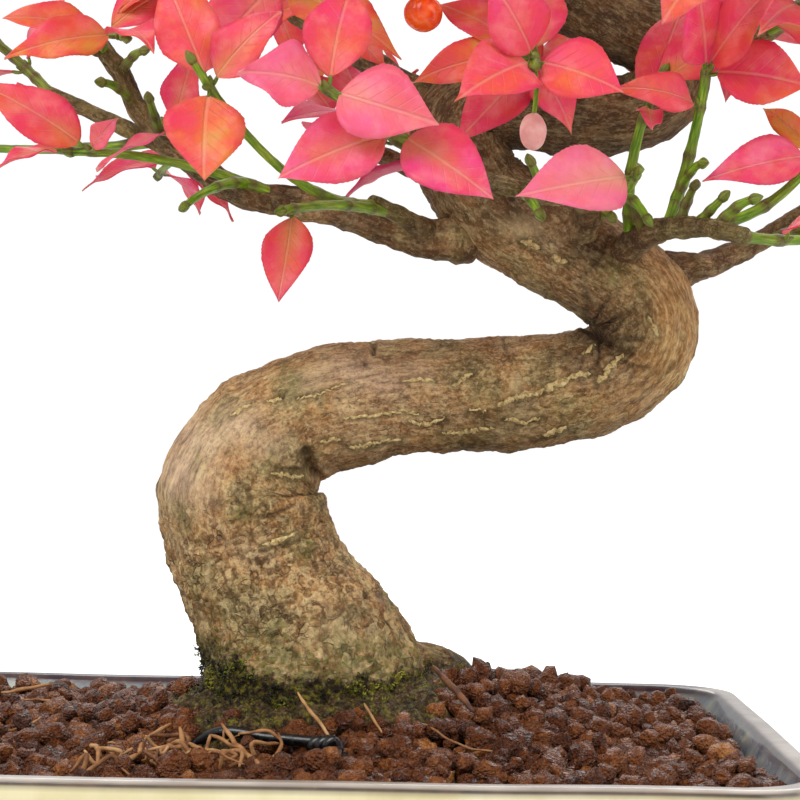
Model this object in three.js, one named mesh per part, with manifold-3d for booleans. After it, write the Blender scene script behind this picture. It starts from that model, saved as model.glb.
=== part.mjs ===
// A euonymus bonsai in its glazed tray: a trunk bent to and fro, its roots and branches, leafy green
// shoots with a few fruits, granular soil, drainage meshes and an anchor wire.
// Millimetres, +Z up, the front of the tree towards -Y. All places are given from the tray's middle
// on the table, and the whole object is moved at the end so that its own middle is over the origin.
import * as THREE from "three";
import { mergeVertices } from "three/addons/utils/BufferGeometryUtils.js";
import Module from "manifold-3d";

const wasm = await Module();
wasm.setup();

// Driving dimensions of the tray.
const TRAY = {
  length: 210, depth: 165, cornerRadius: 19, cornerShrink: 0.45, cornerSteps: 3,
  holeSides: 12, holeX: 48, holeRadius: 8, drillLength: 40,
};
// Each wall point is [how far in from the rim's outer edge, height], up the outside and down inside.
const WALL_OUTSIDE = [[14, 5.2], [13, 6.2], [3.4, 42.5], [0.6, 46.4], [0, 48], [0, 51.1]];
const RIM_TOP = [[0.9, 52], [4.4, 52]];
const WALL_INSIDE = [[5.3, 51.2], [8.2, 46], [19, 16], [21, 13.6], [24, 13]];
const TRAY_FOOT = { x: 73, y: 54, halfLength: 17, halfDepth: 13, cornerRadius: 5, height: 7 };
const FLOOR_TOP = 13;

// Driving dimensions of what lies in the tray.
const GAP = 0.3;
const MESH = { side: 24, thickness: 1.2, opening: 6, bar: 1.5 };
const WIRE = { radius: 1.2, sides: 5, steps: 36, lie: 0.9 };
const TWIST = {
  start: [5.5, -41], end: [9.5, -46], startRise: 1.2, endRise: 3.2, turns: 1.25, rings: 10, sides: 8,
  reach: 1.45, lobe: 0.5,
};
// The soil's points stand off their even places by a share of a cell, and every other one is raised
// by a share of a grain, with the rest a little sunk.
const SOIL = {
  edgeHeight: 47.6, cell: 7.8, grain: 2.6, seed: 4021, jitter: 0.28, sunk: -0.2, raise: [0.35, 0.75],
  clear: 0.35, roomTop: 80,
};
// Each mound of the soil is [x, y, spread along x, spread along y, height].
const MOUNDS = [[8, -2, 34, 25, 12.5], [50, 8, 21, 21, 7]];

// Driving dimensions of the growth.
const TRUNK_SIDES = 10;
const TRUNK_RINGS = 52;
const ROOT_SIDES = 6;
const BRANCH_SIDES = 5;
const TWIG = { foot: 1.25, tip: 0.9, sides: 4, nodeHeight: 1.8, bud: 2.4, sideBow: [0, 0, 1.5] };
const BLADE_THICKNESS = 0.7;
const BEND_LIMIT = 0.93;
const FRUIT = {
  stalkFoot: 0.55, stalkEnd: 0.6, capsuleAbove: 1.6, capsule: 0.95, capsuleWide: 1.15, capsuleTall: 0.62,
};
// Slivers finer than this are taken out of joined and cut pieces.
const SLIVER = 0.06;

// The trunk's middle line, each point [x, y, z, radius], from the root collar to the apex.
const TRUNK = [
  [6.5, 0, 40, 25], [4.6, 0, 53, 23.8], [2, 0, 64.5, 23.2], [-1.7, 0.3, 72.2, 21], [-6.8, 0.6, 81, 18.3],
  [-11, 1, 90, 18.2], [-12.9, 1, 97.5, 18.9], [-13, 1, 104, 18], [-9.5, 1, 111.5, 15.8],
  [-3, 0.5, 117, 13.9], [4, 0, 120, 13.7], [12, 0, 121.5, 13.3], [22, 0, 123.4, 12.4],
  [33, 0, 124, 12.3], [44, 0, 124.2, 12.9], [54, -0.5, 125.5, 12.4], [63.3, -1, 127.6, 11.9],
  [69.4, -1.5, 130.7, 11.5], [73.3, -2, 136, 11.7], [73.7, -2, 142, 11.8], [69.8, -1.5, 147.8, 11.5],
  [61, -1, 153.3, 11], [52.6, 0, 158.2, 11.3], [44.4, 0.5, 163.3, 11.5], [37.8, 1, 168.8, 11.2],
  [34, 1.5, 175.5, 10.9], [33, 2, 182, 10.9], [37, 2, 187.2, 10.5], [45, 1.5, 187.5, 9.9],
  [57, 1, 185.8, 9.2], [68, 0.5, 186, 8.7], [76.5, 0, 189, 8.3], [80, 0, 194.5, 8.3],
  [77, 0, 200.7, 8.3], [69, 0.5, 205.5, 8.5], [60, 1, 210.8, 8.4], [50, 1.5, 217, 8.0],
  [38, 2, 225, 7.2], [31, 2, 231, 6.6], [30.5, 1, 238, 6.0], [36, 0, 243.5, 5.4],
  [45, -1, 246.5, 4.8], [54, -1.5, 250, 4.2], [57, -1, 256, 3.6], [53, 0, 262, 3.0], [48, 1, 270, 2.2],
];

// Surface roots, from the trunk's foot down into the soil.
const ROOTS = [
  [[16, 4, 62, 9], [30, 9, 61.5, 6.4], [42, 14, 55, 4.4], [54, 20, 46, 2.6]],
  [[0, -8, 58, 10], [-8, -21, 51, 6.4], [-16, -33, 43, 3.2]],
  [[14, -7, 57, 10], [22, -19, 51, 6.4], [27, -28, 44, 3.4]],
  [[-4, 6, 57, 10], [-18, 19, 50, 5.6], [-30, 30, 42, 3.2]],
  [[8, 8, 56, 9], [10, 26, 49, 5.2], [12, 40, 41, 3.2]],
  [[18, -1, 52, 8], [34, -5, 46, 5], [47, -9, 39, 3.2]],
];

// Woody branches and spurs, each point [x, y, z, radius].
const BRANCHES = {
  leftBranch: [
    [36, -1, 158, 5.4], [27, -3, 157.7, 4.5], [20, -4, 159.3, 3.9], [12.7, -4, 161.4, 3.5],
    [4, -3, 164, 3.3], [-4, -2, 165.4, 3.3], [-12.6, -1, 166.6, 3.1], [-19, 0, 169.4, 3.0],
    [-26, 1, 174.3, 2.6], [-32.5, 2, 179.6, 2.4], [-38, 2, 186.1, 2.2], [-41.5, 2, 193.2, 2.1],
    [-45.9, 2, 199, 2.0],
  ],
  leftFork: [[-27, 1.2, 175.4, 2.2], [-34, 3, 178.5, 1.9], [-45, 5.5, 183.5, 1.7], [-58, 8.5, 189.5, 1.4]],
  collarSpur: [[28, -2, 158, 3.2], [22, -12, 161, 2.0], [14.4, -21.5, 164, 1.5]],
  frontRight: [
    [66, -3, 151, 5.2], [69.5, -14, 156.3, 3.2], [74, -28, 158.6, 2.4], [80.3, -42, 158.3, 2.0],
    [87.5, -56.5, 155.8, 1.6],
  ],
  frontLeft: [
    [56, -3, 157, 5], [60, -15, 161.5, 2.9], [57.5, -30, 164.8, 2.3], [48, -49, 164, 2.0],
    [36, -59, 165.5, 1.7],
  ],
  brokenStub: [[74, -1, 150, 5.4], [83.9, 0, 152.6, 3.4], [88, 0.5, 152.8, 2.6]],
  backLeft: [[44, 5, 165, 4], [38, 18, 169, 3], [26, 31, 175, 2.4], [12, 42, 182, 1.9]],
  backRight: [[70, 3, 147, 5], [86, 15, 153, 3.2], [102, 27, 160, 2.4], [116, 37, 169, 1.8]],
  right: [[76, 0, 194, 5], [87, 4, 198, 3], [98, 5, 204, 2.3], [108, 3, 210, 1.8]],
  midFront: [[53, -3, 186.5, 4], [50.5, -17, 189, 2.6], [47, -31, 189, 2.0]],
  midFrontRight: [[71, -3, 190, 4], [79, -17, 197, 2.6], [90, -30, 205, 2.0], [102, -40, 212, 1.6]],
  midBack: [[58, 4, 188, 4], [60, 19, 194, 2.8], [65, 34, 202, 2.2], [68, 47, 210, 1.7]],
  highLeft: [[36, 1, 184, 5], [22, 2, 191, 3.1], [6, 1, 201, 2.6], [-12, -3, 212, 2.1], [-28, -8, 221, 1.6]],
  highLeftBack: [[8, 1, 200, 2.6], [2, 17, 208, 2.1], [-9, 36, 216, 1.6]],
  highFront: [[47, -2, 219, 4], [37, -15, 226, 2.7], [25, -30, 232, 2.1], [12, -46, 236, 1.6]],
  highBackRight: [[68, 3, 206, 4], [80, 14, 216, 2.7], [90, 26, 225, 2]],
  upperLeft: [[31, 1, 234, 4], [18, 4, 243, 2.7], [2, 6, 251, 2.0]],
  upperRight: [[53, -1, 250, 3.4], [70, -6, 257, 2.4], [86, -10, 262, 1.8]],
  upperBack: [[44, 1, 246.5, 3.4], [42, 19, 255, 2.3], [37, 36, 262, 1.7]],
  upperFront: [[50, -2, 248.5, 3], [59, -18, 255, 2.1], [67, -34, 259, 1.6]],
};

// Shoots placed by hand, as the front shows them. A leaf is [place along the shoot, tip x, y, z,
// width, degrees that its face turns from the sky towards the front].
const HAND_SHOOTS = [
  {
    foot: [-4, -2, 165.6], tip: [-50, -6.5, 174.9], bow: [0, -2.5, 2.4],
    leaves: [[0.92, -71, -9, 190.5, 12, 72], [0.92, -40.5, -12, 182, 5.5, 60]],
    side: { along: 0.2, tip: [-24.3, -21.5, 162.8] },
  },
  {
    foot: [-20, 0.2, 170.4], tip: [-29.5, -7, 180.5], bow: [0, -1.5, 0],
    leaves: [[0.92, -44, -14.5, 170.7, 5.4, 25], [0.92, -23, -14, 197, 9.5, 60]],
  },
  {
    foot: [15.5, -20, 163.5], tip: [-19, -70, 185.5], bow: [0, 0, -7.5],
    leaves: [
      [0.92, -17.6, -72.5, 163.3, 15.5, 82], [0.92, -26, -62, 203, 12.5, 70], [0.92, -3, -69, 196, 11, 60],
    ],
  },
  {
    foot: [18, -17, 162.2], tip: [-2.5, -51, 159.5], bow: [0, -1, 1.2],
    leaves: [[0.92, -1.8, -56.5, 142.2, 10, 84]],
  },
  {
    foot: [-33, 2.6, 178.4], tip: [-77, 22, 178.5], bow: [0, 0, -1],
    leaves: [
      [0.5, -66, 19, 194, 10, 40], [0.5, -70, 0, 171, 9, 30], [0.92, -95, 30, 184, 10, 30],
      [0.92, -90, 12, 171, 10, 30],
    ],
  },
  {
    foot: [-25, 1, 173.8], tip: [-36, 33, 174], bow: [0, 0, 2],
    leaves: [
      [0.45, -17, 24, 163.5, 8, 50], [0.5, -53, 25, 171, 10, 30], [0.92, -28, 52, 166, 10, 40],
      [0.92, -52, 47, 177, 10, 30],
    ],
  },
  {
    foot: [-45.4, 2, 198.3], tip: [-35.5, -41, 194.5], bow: [-2, 0, 2],
    leaves: [
      [0.92, -59, -47, 189.6, 10.5, 62], [0.92, -28, -60, 192, 10, 50], [0.5, -63, -25, 201, 10, 50],
      [0.5, -27, -19, 208, 10, 50],
    ],
  },
  {
    foot: [36.8, -58.6, 165.4], tip: [3, -70, 183], bow: [3, -3, -3],
    leaves: [
      [0.6, 37.5, -75, 160.5, 14, 75], [0.6, -3, -75, 164.5, 14, 72], [0.92, 26.5, -77, 172.5, 15, 72],
      [0.92, -10, -75, 184.5, 13.5, 62], [0.92, 9, -62, 202, 13, 60],
    ],
  },
  {
    foot: [47.4, -30.2, 189], tip: [45.5, -65, 187], bow: [0, 0, 3],
    leaves: [
      [0.92, 31, -79, 179.5, 14.5, 75], [0.92, 62, -70, 182, 14, 72], [0.92, 36, -72, 203, 13, 65],
      [0.62, 48, -46, 208, 11, 50], [0.62, 27, -44, 201, 12, 45], [0.62, 22.2, -55, 186.5, 10, 60],
      [0.32, 33, -43, 174, 11.5, 62], [0.32, 55, -44, 177, 11, 62],
    ],
    fruit: { along: 0.9, drop: 15.2, radius: 2.6 },
  },
  {
    foot: [58.5, -22, 163.2], tip: [65.5, -66, 167], bow: [2, 0, -1],
    leaves: [[0.92, 42.5, -78, 159.5, 15, 78]],
    side: { along: 0.45, tip: [69, -48, 160] },
  },
  {
    foot: [69.5, -13.5, 156.3], tip: [73.5, -33, 190], bow: [-3.5, -8, 0],
    leaves: [
      [0.92, 89, -26, 199, 12, 55], [0.72, 81, -12, 209, 11, 50], [0.8, 70, -43, 178, 5.5, 70],
    ],
  },
  {
    foot: [75, -30, 158.4], tip: [82, -38, 192.5], bow: [1, -1.5, 0],
    leaves: [
      [0.72, 63.5, -46, 187, 8, 68], [0.92, 101.5, -44, 187, 14, 66], [0.92, 77, -50, 207, 13.5, 60],
      [0.92, 94, -54, 206, 12, 60],
    ],
    side: { along: 0.18, tip: [80.5, -42, 171] },
  },
  {
    foot: [80.8, -42.4, 158.4], tip: [106, -37, 176], bow: [1.5, 0, -3.5],
    leaves: [
      [0.92, 81.5, -44, 167.5, 11, 66], [0.92, 124, -49, 184, 11, 50], [0.92, 116, -23, 188, 11, 45],
      [0.92, 94, -31, 184, 6, 60],
    ],
  },
  {
    foot: [84, -49.8, 157], tip: [110, -33, 158], bow: [0, 0, -1.5],
    leaves: [[0.92, 128, -42, 162, 11, 45], [0.92, 122, -15, 165, 11, 40], [0.5, 108, -58, 163, 10, 45]],
  },
  {
    foot: [50.3, -17.5, 188.9], tip: [20, -58, 213], bow: [0, 0, 4],
    leaves: [[0.92, -2.5, -67, 203, 12, 62], [0.92, 32, -75, 216, 11.5, 50], [0.55, 18, -28, 215, 10.5, 40]],
    fruit: { along: 0.86, drop: 13, radius: 3.8 },
  },
  {
    foot: [8, 0.8, 199.8], tip: [-6, -44, 205], bow: [0, 0, 3],
    leaves: [
      [0.92, 19.7, -56, 191.5, 14, 65], [0.92, -18.5, -57, 187.5, 14.5, 72], [0.92, -12, -64, 214, 11, 50],
      [0.5, 17, -27, 191, 10.5, 50], [0.5, -18, -25, 196, 10, 50],
    ],
  },
  {
    foot: [92, 4.4, 200.7], tip: [102, -34, 205], bow: [0, 0, 2],
    leaves: [
      [0.92, 90, -52, 196, 13, 65], [0.92, 120, -46, 200, 12, 55], [0.92, 106, -24, 225, 11, 60],
      [0.5, 116, -16, 197, 11, 45], [0.5, 86, -14, 214, 11, 45],
    ],
  },
  {
    foot: [-12.5, -3.2, 212.2], tip: [-30, -42, 209], bow: [0, 0, 3],
    leaves: [
      [0.92, -50, -50, 203, 12, 58], [0.92, -27, -62, 221, 11, 50], [0.5, -40, -22, 203, 11, 50],
      [0.5, -5, -27, 216, 11, 45],
    ],
  },
];

// How many shoots the rule sets on each of the other branches, from its end backwards.
const SHOOTS_BY_RULE = [
  ["leftFork", 1], ["backLeft", 2], ["backRight", 3], ["right", 3], ["midFrontRight", 2], ["midBack", 3],
  ["highLeft", 3], ["highLeftBack", 2], ["highFront", 3], ["highBackRight", 2], ["upperLeft", 2],
  ["upperRight", 2], ["upperBack", 2], ["upperFront", 2],
];
const APEX_SHOOTS = 2;
// Shoots that the rule sets last, further back on some branches: [branch, steps back from its end].
const LATE_SHOOTS = [["backLeft", 2], ["highLeftBack", 2], ["highBackRight", 2], ["upperBack", 2]];

// The growth rule's own values.
const RULE = {
  seed: 90317, attempts: 14, leafAttempts: 6, pairs: 3, lastPair: 0.92, spacing: 0.31,
  shootLength: [27, 37], leafLength: [19, 25.5], widthShare: [0.5, 0.6], spread: [42, 68],
  aroundJitter: [-20, 20], droop: [0, 0.35], faceAlong: 0.7, faceSide: [-0.3, 0.3],
  faceFront: [-0.5, 0.1], forkStep: 0.3, lookBack: 0.1, endTurn: [-0.35, 0.35], sideTurn: [0.6, 1.5],
  lift: [0.05, 0.75], bowAside: [-2, 2], bowRise: [-3, 1], fewestLeaves: 4,
  leafClear: 5.8, ownClear: 2.6, twigClear: 3.4, woodClear: 3.2, footFree: 9,
  fruitEvery: 9, firstFruit: 3, fruit: { along: 0.66, drop: 9, radius: 3.4 },
};
const FOLD = 0.22;
const ARCH = 0.07;

// The front is kept open: seen from the front, these stretches of the trunk's plane have no leaves
// laid by rule, except in the leafy windows, each [x from, x to, z from, z to].
const FRONT_EYE = [21, -511.5, 122.6];
const OPEN_FRONT = [-68, 110, 30, 208];
const LEAFY_WINDOWS = [
  [-66, -38, 196, 208], [-34, 22, 197, 208], [-15, 38, 166, 197], [30, 66, 182, 208], [72, 108, 190, 208],
];

// Finishes.
const finish = (color, roughness) => new THREE.MeshStandardMaterial({ color, roughness, metalness: 0 });
const GLAZE = finish(0xe4ddc8, 0.22);
const BARK = finish(0x84684a, 0.85);
const EARTH = finish(0x5a2f22, 0.6);
const LEAF = finish(0xd9506a, 0.5);
const GRID_PLASTIC = finish(0x24272a, 0.6);
const WIRE_COAT = finish(0x151515, 0.35);

// Vectors are plain [x, y, z] arrays.
const add = (a, b) => [a[0] + b[0], a[1] + b[1], a[2] + b[2]];
const sub = (a, b) => [a[0] - b[0], a[1] - b[1], a[2] - b[2]];
const scale = (a, k) => [a[0] * k, a[1] * k, a[2] * k];
const dot = (a, b) => a[0] * b[0] + a[1] * b[1] + a[2] * b[2];
const cross = (a, b) => [a[1] * b[2] - a[2] * b[1], a[2] * b[0] - a[0] * b[2], a[0] * b[1] - a[1] * b[0]];
const span = (a) => Math.sqrt(dot(a, a));
const unit = (a) => scale(a, 1 / span(a));
const mix = (a, b, t) => add(scale(a, 1 - t), scale(b, t));
const radians = (degrees) => degrees * Math.PI / 180;
const UP = [0, 0, 1];

// A repeatable draw between two values.
let drawState = RULE.seed;
function reseed(seed) {
  drawState = seed >>> 0;
}
function draw(low, high) {
  drawState = (Math.imul(drawState, 1664525) + 1013904223) >>> 0;
  return low + (high - low) * (drawState / 4294967296);
}

// Merges equal points and drops faces that have closed up.
function closedGeometry(positions, faces) {
  const loose = new THREE.BufferGeometry();
  loose.setAttribute("position", new THREE.Float32BufferAttribute(positions, 3));
  loose.setIndex(faces);
  const merged = mergeVertices(loose, 1e-4);
  const index = Array.from(merged.index.array);
  const kept = [];
  for (let i = 0; i < index.length; i += 3) {
    const [a, b, c] = index.slice(i, i + 3);
    if (a !== b && b !== c && c !== a) kept.push(a, b, c);
  }
  merged.setIndex(kept);
  return merged;
}

// A closed skin over rings of equal point count that turn to the left about the way they travel.
function skin(rings) {
  const sides = rings[0].length;
  const positions = rings.flat(2);
  const faces = [];
  for (let i = 0; i < rings.length - 1; i++) {
    for (let j = 0; j < sides; j++) {
      const next = (j + 1) % sides;
      const a = i * sides + j;
      const b = i * sides + next;
      const c = (i + 1) * sides + next;
      const d = (i + 1) * sides + j;
      faces.push(a, b, c, a, c, d);
    }
  }
  const middle = (ring) => scale(ring.reduce(add), 1 / sides);
  const last = (rings.length - 1) * sides;
  const startCentre = rings.length * sides;
  positions.push(...middle(rings[0]), ...middle(rings[rings.length - 1]));
  for (let j = 0; j < sides; j++) {
    const next = (j + 1) % sides;
    faces.push(startCentre, next, j, startCentre + 1, last + j, last + next);
  }
  return closedGeometry(positions, faces);
}

// Between a geometry and a solid that can be joined and cut.
function solid(geometry) {
  const bare = geometry.clone();
  bare.deleteAttribute("normal");
  bare.deleteAttribute("uv");
  const merged = mergeVertices(bare, 1e-4);
  return new wasm.Manifold(new wasm.Mesh({
    numProp: 3,
    vertProperties: new Float32Array(merged.attributes.position.array),
    triVerts: new Uint32Array(merged.index.array),
  }));
}
function largestPiece(whole) {
  return whole.decompose().reduce((best, piece) => (piece.volume() > best.volume() ? piece : best));
}
function geometryOf(body) {
  const mesh = body.getMesh();
  const geometry = new THREE.BufferGeometry();
  geometry.setAttribute("position", new THREE.BufferAttribute(new Float32Array(mesh.vertProperties), 3));
  geometry.setIndex(new THREE.BufferAttribute(new Uint32Array(mesh.triVerts), 1));
  geometry.computeVertexNormals();
  return geometry;
}
const joined = (parts) => parts.reduce((whole, part) => whole.add(part));

// A point and radius on a limb's smooth middle line, at a share of its points.
function limbLine(points) {
  const curve = new THREE.CatmullRomCurve3(points.map(([x, y, z]) => new THREE.Vector3(x, y, z)));
  return (share) => {
    const place = share * (points.length - 1);
    const before = Math.min(Math.floor(place), points.length - 2);
    const radius = points[before][3] + (points[before + 1][3] - points[before][3]) * (place - before);
    return { point: curve.getPoint(share).toArray(), radius };
  };
}

// The skin of a limb. Inside a sharp bend the skin stops short of the bend's centre, so that it
// wrinkles up against itself and doesn't pass through itself.
function limbRings(points, sides, ringCount, grow = 0, flute = () => 1, start = [0, 1, 0]) {
  const line = limbLine(points);
  const stations = [];
  for (let i = 0; i < ringCount; i++) stations.push(line(i / (ringCount - 1)));
  const last = ringCount - 1;
  const ways = stations.map((_, i) => unit(sub(
    stations[Math.min(i + 1, last)].point, stations[Math.max(i - 1, 0)].point,
  )));
  if (grow > 0) {
    stations[last].point = add(stations[last].point, scale(ways[last], grow));
  }
  let across = Math.abs(dot(ways[0], start)) < 0.8 ? start : [1, 0, 0];
  return stations.map(({ point, radius }, i) => {
    const way = ways[i];
    across = unit(sub(across, scale(way, dot(across, way))));
    const inPlane = cross(across, way);
    const before = stations[Math.max(i - 1, 0)].point;
    const after = stations[Math.min(i + 1, last)].point;
    const stretch = Math.max(span(sub(after, before)) / 2, 1e-6);
    const bend = scale(sub(ways[Math.min(i + 1, last)], ways[Math.max(i - 1, 0)]), 0.5 / stretch);
    const curvature = span(bend);
    const ring = [];
    for (let j = 0; j < sides; j++) {
      const angle = 2 * Math.PI * j / sides;
      const reach = (radius + grow) * flute(angle, point[2]);
      let offset = add(scale(inPlane, reach * Math.cos(angle)), scale(across, reach * Math.sin(angle)));
      if (curvature > 1e-4) {
        const inward = unit(bend);
        const depth = dot(offset, inward);
        const limit = BEND_LIMIT / curvature;
        if (depth > limit) offset = sub(offset, scale(inward, depth - limit));
      }
      ring.push(add(point, offset));
    }
    return ring;
  });
}
const limb = (...values) => skin(limbRings(...values));

// The trunk's foot is fluted towards its roots.
function trunkFlute(angle, height) {
  const share = Math.max(0, Math.min(1, (78 - height) / 30));
  return 1 + share * (0.06 * Math.cos(3 * angle + 0.6) + 0.04 * Math.cos(5 * angle + 2.1));
}

// All wood in one piece, grown all round by a small amount where it is used to cut its neighbours.
function wood(grow = 0) {
  const parts = [solid(limb(TRUNK, TRUNK_SIDES, TRUNK_RINGS, grow, trunkFlute))];
  for (const root of ROOTS) parts.push(solid(limb(root, ROOT_SIDES, root.length, grow)));
  for (const branch of Object.values(BRANCHES)) {
    parts.push(solid(limb(branch, BRANCH_SIDES, branch.length, grow)));
  }
  return joined(parts).simplify(grow > 0 ? 0.001 : SLIVER);
}

// The straight pieces between the wood's points, for keeping leaves clear of it.
const WOOD_PIECES = [TRUNK, ...ROOTS, ...Object.values(BRANCHES)].flatMap((points) => (
  points.slice(1).map((end, i) => ({ start: points[i], end }))
));
function woodDistance(point) {
  let nearest = Infinity;
  for (const { start, end } of WOOD_PIECES) {
    const along = sub(end, start);
    const share = Math.max(0, Math.min(1, dot(sub(point, start), along) / dot(along, along)));
    const radius = start[3] + (end[3] - start[3]) * share;
    nearest = Math.min(nearest, span(sub(point, add(start, scale(along, share)))) - radius);
  }
  return nearest;
}

// A leaf: a thin blade from its root to its tip, folded along the midrib and arched.
function makeLeaf(shoot, at, tip, width, face) {
  const root = twigPoint(shoot, at);
  const way = unit(sub(tip, root));
  const normal = unit(sub(face, scale(way, dot(face, way))));
  return { at, root, tip, width, way, normal, across: cross(normal, way), length: span(sub(tip, root)) };
}
function leafPoint(leaf, u, side, halfWidth) {
  const rise = ARCH * leaf.length * 4 * u * (1 - u) + FOLD * Math.abs(side) * halfWidth;
  return add(
    add(leaf.root, scale(leaf.way, leaf.length * u)),
    add(scale(leaf.across, side * halfWidth), scale(leaf.normal, rise)),
  );
}
const LEAF_SAMPLES = [
  [0.3, 0], [0.5, 0], [0.75, 0], [1, 0], [0.38, 0.8], [0.38, -0.8], [0.68, 0.8], [0.68, -0.8],
];
const sampleLeaf = (leaf) => LEAF_SAMPLES.map(([u, side]) => leafPoint(leaf, u, side, leaf.width / 2));

// A green shoot: a bowed four-sided twig.
function twigPoint(shoot, t) {
  return add(mix(shoot.foot, shoot.tip, t), scale(shoot.bow, 4 * t * (1 - t)));
}
function twigWay(shoot, t) {
  return unit(add(sub(shoot.tip, shoot.foot), scale(shoot.bow, 4 * (1 - 2 * t))));
}
function twigFrame(way) {
  const level = unit(cross(way, Math.abs(way[2]) < 0.9 ? UP : [1, 0, 0]));
  return [level, cross(level, way)];
}

// The blade's rings, widest at its shoulder: its upper left, middle and right, then the same below.
const SHOULDER = { at: 0.42, share: 0.5 };
const NARROWING = { at: 0.74, share: 0.35 };
function bladeRing(leaf, { at, share }, sides) {
  const half = scale(leaf.normal, BLADE_THICKNESS / 2);
  const line = sides.map((side) => leafPoint(leaf, at, side, share * leaf.width));
  return [...line.map((p) => add(p, half)), ...line.reverse().map((p) => sub(p, half))];
}

// Grows a leaf out of a four-cornered face of the twig. The face's corners run the way the blade's
// corners do, and both faces of the blade are split alike.
function growBlade(mesh, leaf, face) {
  const place = (points) => points.map((point) => mesh.points.push(point) - 1);
  const shoulder = bladeRing(leaf, SHOULDER, [1, 0, -1]);
  const corners = [0, 2, 3, 5].map((i) => shoulder[i]);
  const faceCentre = scale(face.map((i) => mesh.points[i]).reduce(add), 0.25);
  const bladeCentre = scale(corners.reduce(add), 0.25);
  const match = (turn) => corners.reduce((sum, corner, i) => (
    sum + dot(sub(mesh.points[face[(i + turn) % 4]], faceCentre), sub(corner, bladeCentre))
  ), 0);
  const turn = [0, 1, 2, 3].reduce((best, k) => (match(k) > match(best) ? k : best));
  const [q0, q1, q2, q3] = [0, 1, 2, 3].map((i) => face[(i + turn) % 4]);
  const [lt, mt, rt, rb, mb, lb] = place(shoulder);
  const [lt2, rt2, rb2, lb2] = place(bladeRing(leaf, NARROWING, [1, -1]));
  const [top, bottom] = place(bladeRing(leaf, { at: 1, share: 0 }, [0]));
  mesh.faces.push(
    q0, q1, mt, q1, rt, mt, q0, mt, lt, q1, q2, rb, q1, rb, rt,
    q2, q3, mb, q3, lb, mb, q2, mb, rb, q3, q0, lt, q3, lt, lb,
    lt, mt, lt2, mt, rt2, lt2, mt, rt, rt2, rt, rb, rb2, rt, rb2, rt2,
    rb, mb, rb2, mb, lb2, rb2, mb, lb, lb2, lb, lt, lt2, lb, lt2, lb2,
    lt2, rt2, top, rt2, rb2, bottom, rt2, bottom, top,
    rb2, lb2, bottom, lb2, lt2, top, lb2, top, bottom,
  );
}

// A twig and its leaves as one closed skin: the twig has a short four-sided node for each pair, and
// each leaf takes the side of the node that faces it most.
function shootSolid(shoot) {
  const nodes = [...new Set(shoot.leaves.map((leaf) => leaf.at))].sort((a, b) => a - b);
  const half = TWIG.nodeHeight / 2 / span(sub(shoot.tip, shoot.foot));
  const stops = [0, ...nodes.flatMap((t) => [t - half, t + half]), 1];
  const stations = stops.map((t) => [...twigPoint(shoot, t), TWIG.foot + (TWIG.tip - TWIG.foot) * t]);
  stations.push([...add(shoot.tip, scale(twigWay(shoot, 1), TWIG.bud)), 0.3]);
  const rings = limbRings(stations, TWIG.sides, stations.length, 0, undefined, shoot.corner);
  const mesh = { points: rings.flat(), faces: [] };
  const sideFace = (i, j) => {
    const next = (j + 1) % TWIG.sides;
    return [i * 4 + j, i * 4 + next, (i + 1) * 4 + next, (i + 1) * 4 + j];
  };
  const taken = new Set();
  for (const leaf of shoot.leaves) {
    const ring = 1 + 2 * nodes.indexOf(leaf.at);
    const facing = (j) => {
      const middle = scale(sideFace(ring, j).map((k) => mesh.points[k]).reduce(add), 0.25);
      return dot(unit(sub(middle, leaf.root)), leaf.way);
    };
    const free = [0, 1, 2, 3].filter((j) => !taken.has(`${ring} ${j}`));
    const side = free.reduce((best, j) => (facing(j) > facing(best) ? j : best));
    taken.add(`${ring} ${side}`);
    growBlade(mesh, leaf, sideFace(ring, side));
  }
  for (let i = 0; i < rings.length - 1; i++) {
    for (let j = 0; j < TWIG.sides; j++) {
      if (taken.has(`${i} ${j}`)) continue;
      const [a, b, c, d] = sideFace(i, j);
      mesh.faces.push(a, b, c, a, c, d);
    }
  }
  const last = 4 * (rings.length - 1);
  mesh.faces.push(0, 2, 1, 0, 3, 2, last, last + 1, last + 2, last, last + 2, last + 3);
  return solid(closedGeometry(mesh.points.flat(), mesh.faces));
}

// What has grown so far: the sample points of every leaf and twig, and the shoot that each is on.
const leafSamples = [];
const twigSamples = [];
function record(shoot, number) {
  for (let i = 1; i <= 10; i++) twigSamples.push({ point: twigPoint(shoot, i / 10), number });
  for (const leaf of shoot.leaves) {
    for (const point of sampleLeaf(leaf)) leafSamples.push({ point, number });
  }
}
const clearOf = (samples, point, distance, number) => samples.every((sample) => (
  sample.number === number || span(sub(sample.point, point)) > distance
));

// Whether a point would stand in the open part of the front view.
function blocksFront(point) {
  const share = -FRONT_EYE[1] / (point[1] - FRONT_EYE[1]);
  const x = FRONT_EYE[0] + (point[0] - FRONT_EYE[0]) * share;
  const z = FRONT_EYE[2] + (point[2] - FRONT_EYE[2]) * share;
  const within = ([x0, x1, z0, z1]) => x > x0 && x < x1 && z > z0 && z < z1;
  return within(OPEN_FRONT) && !LEAFY_WINDOWS.some(within);
}

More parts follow.
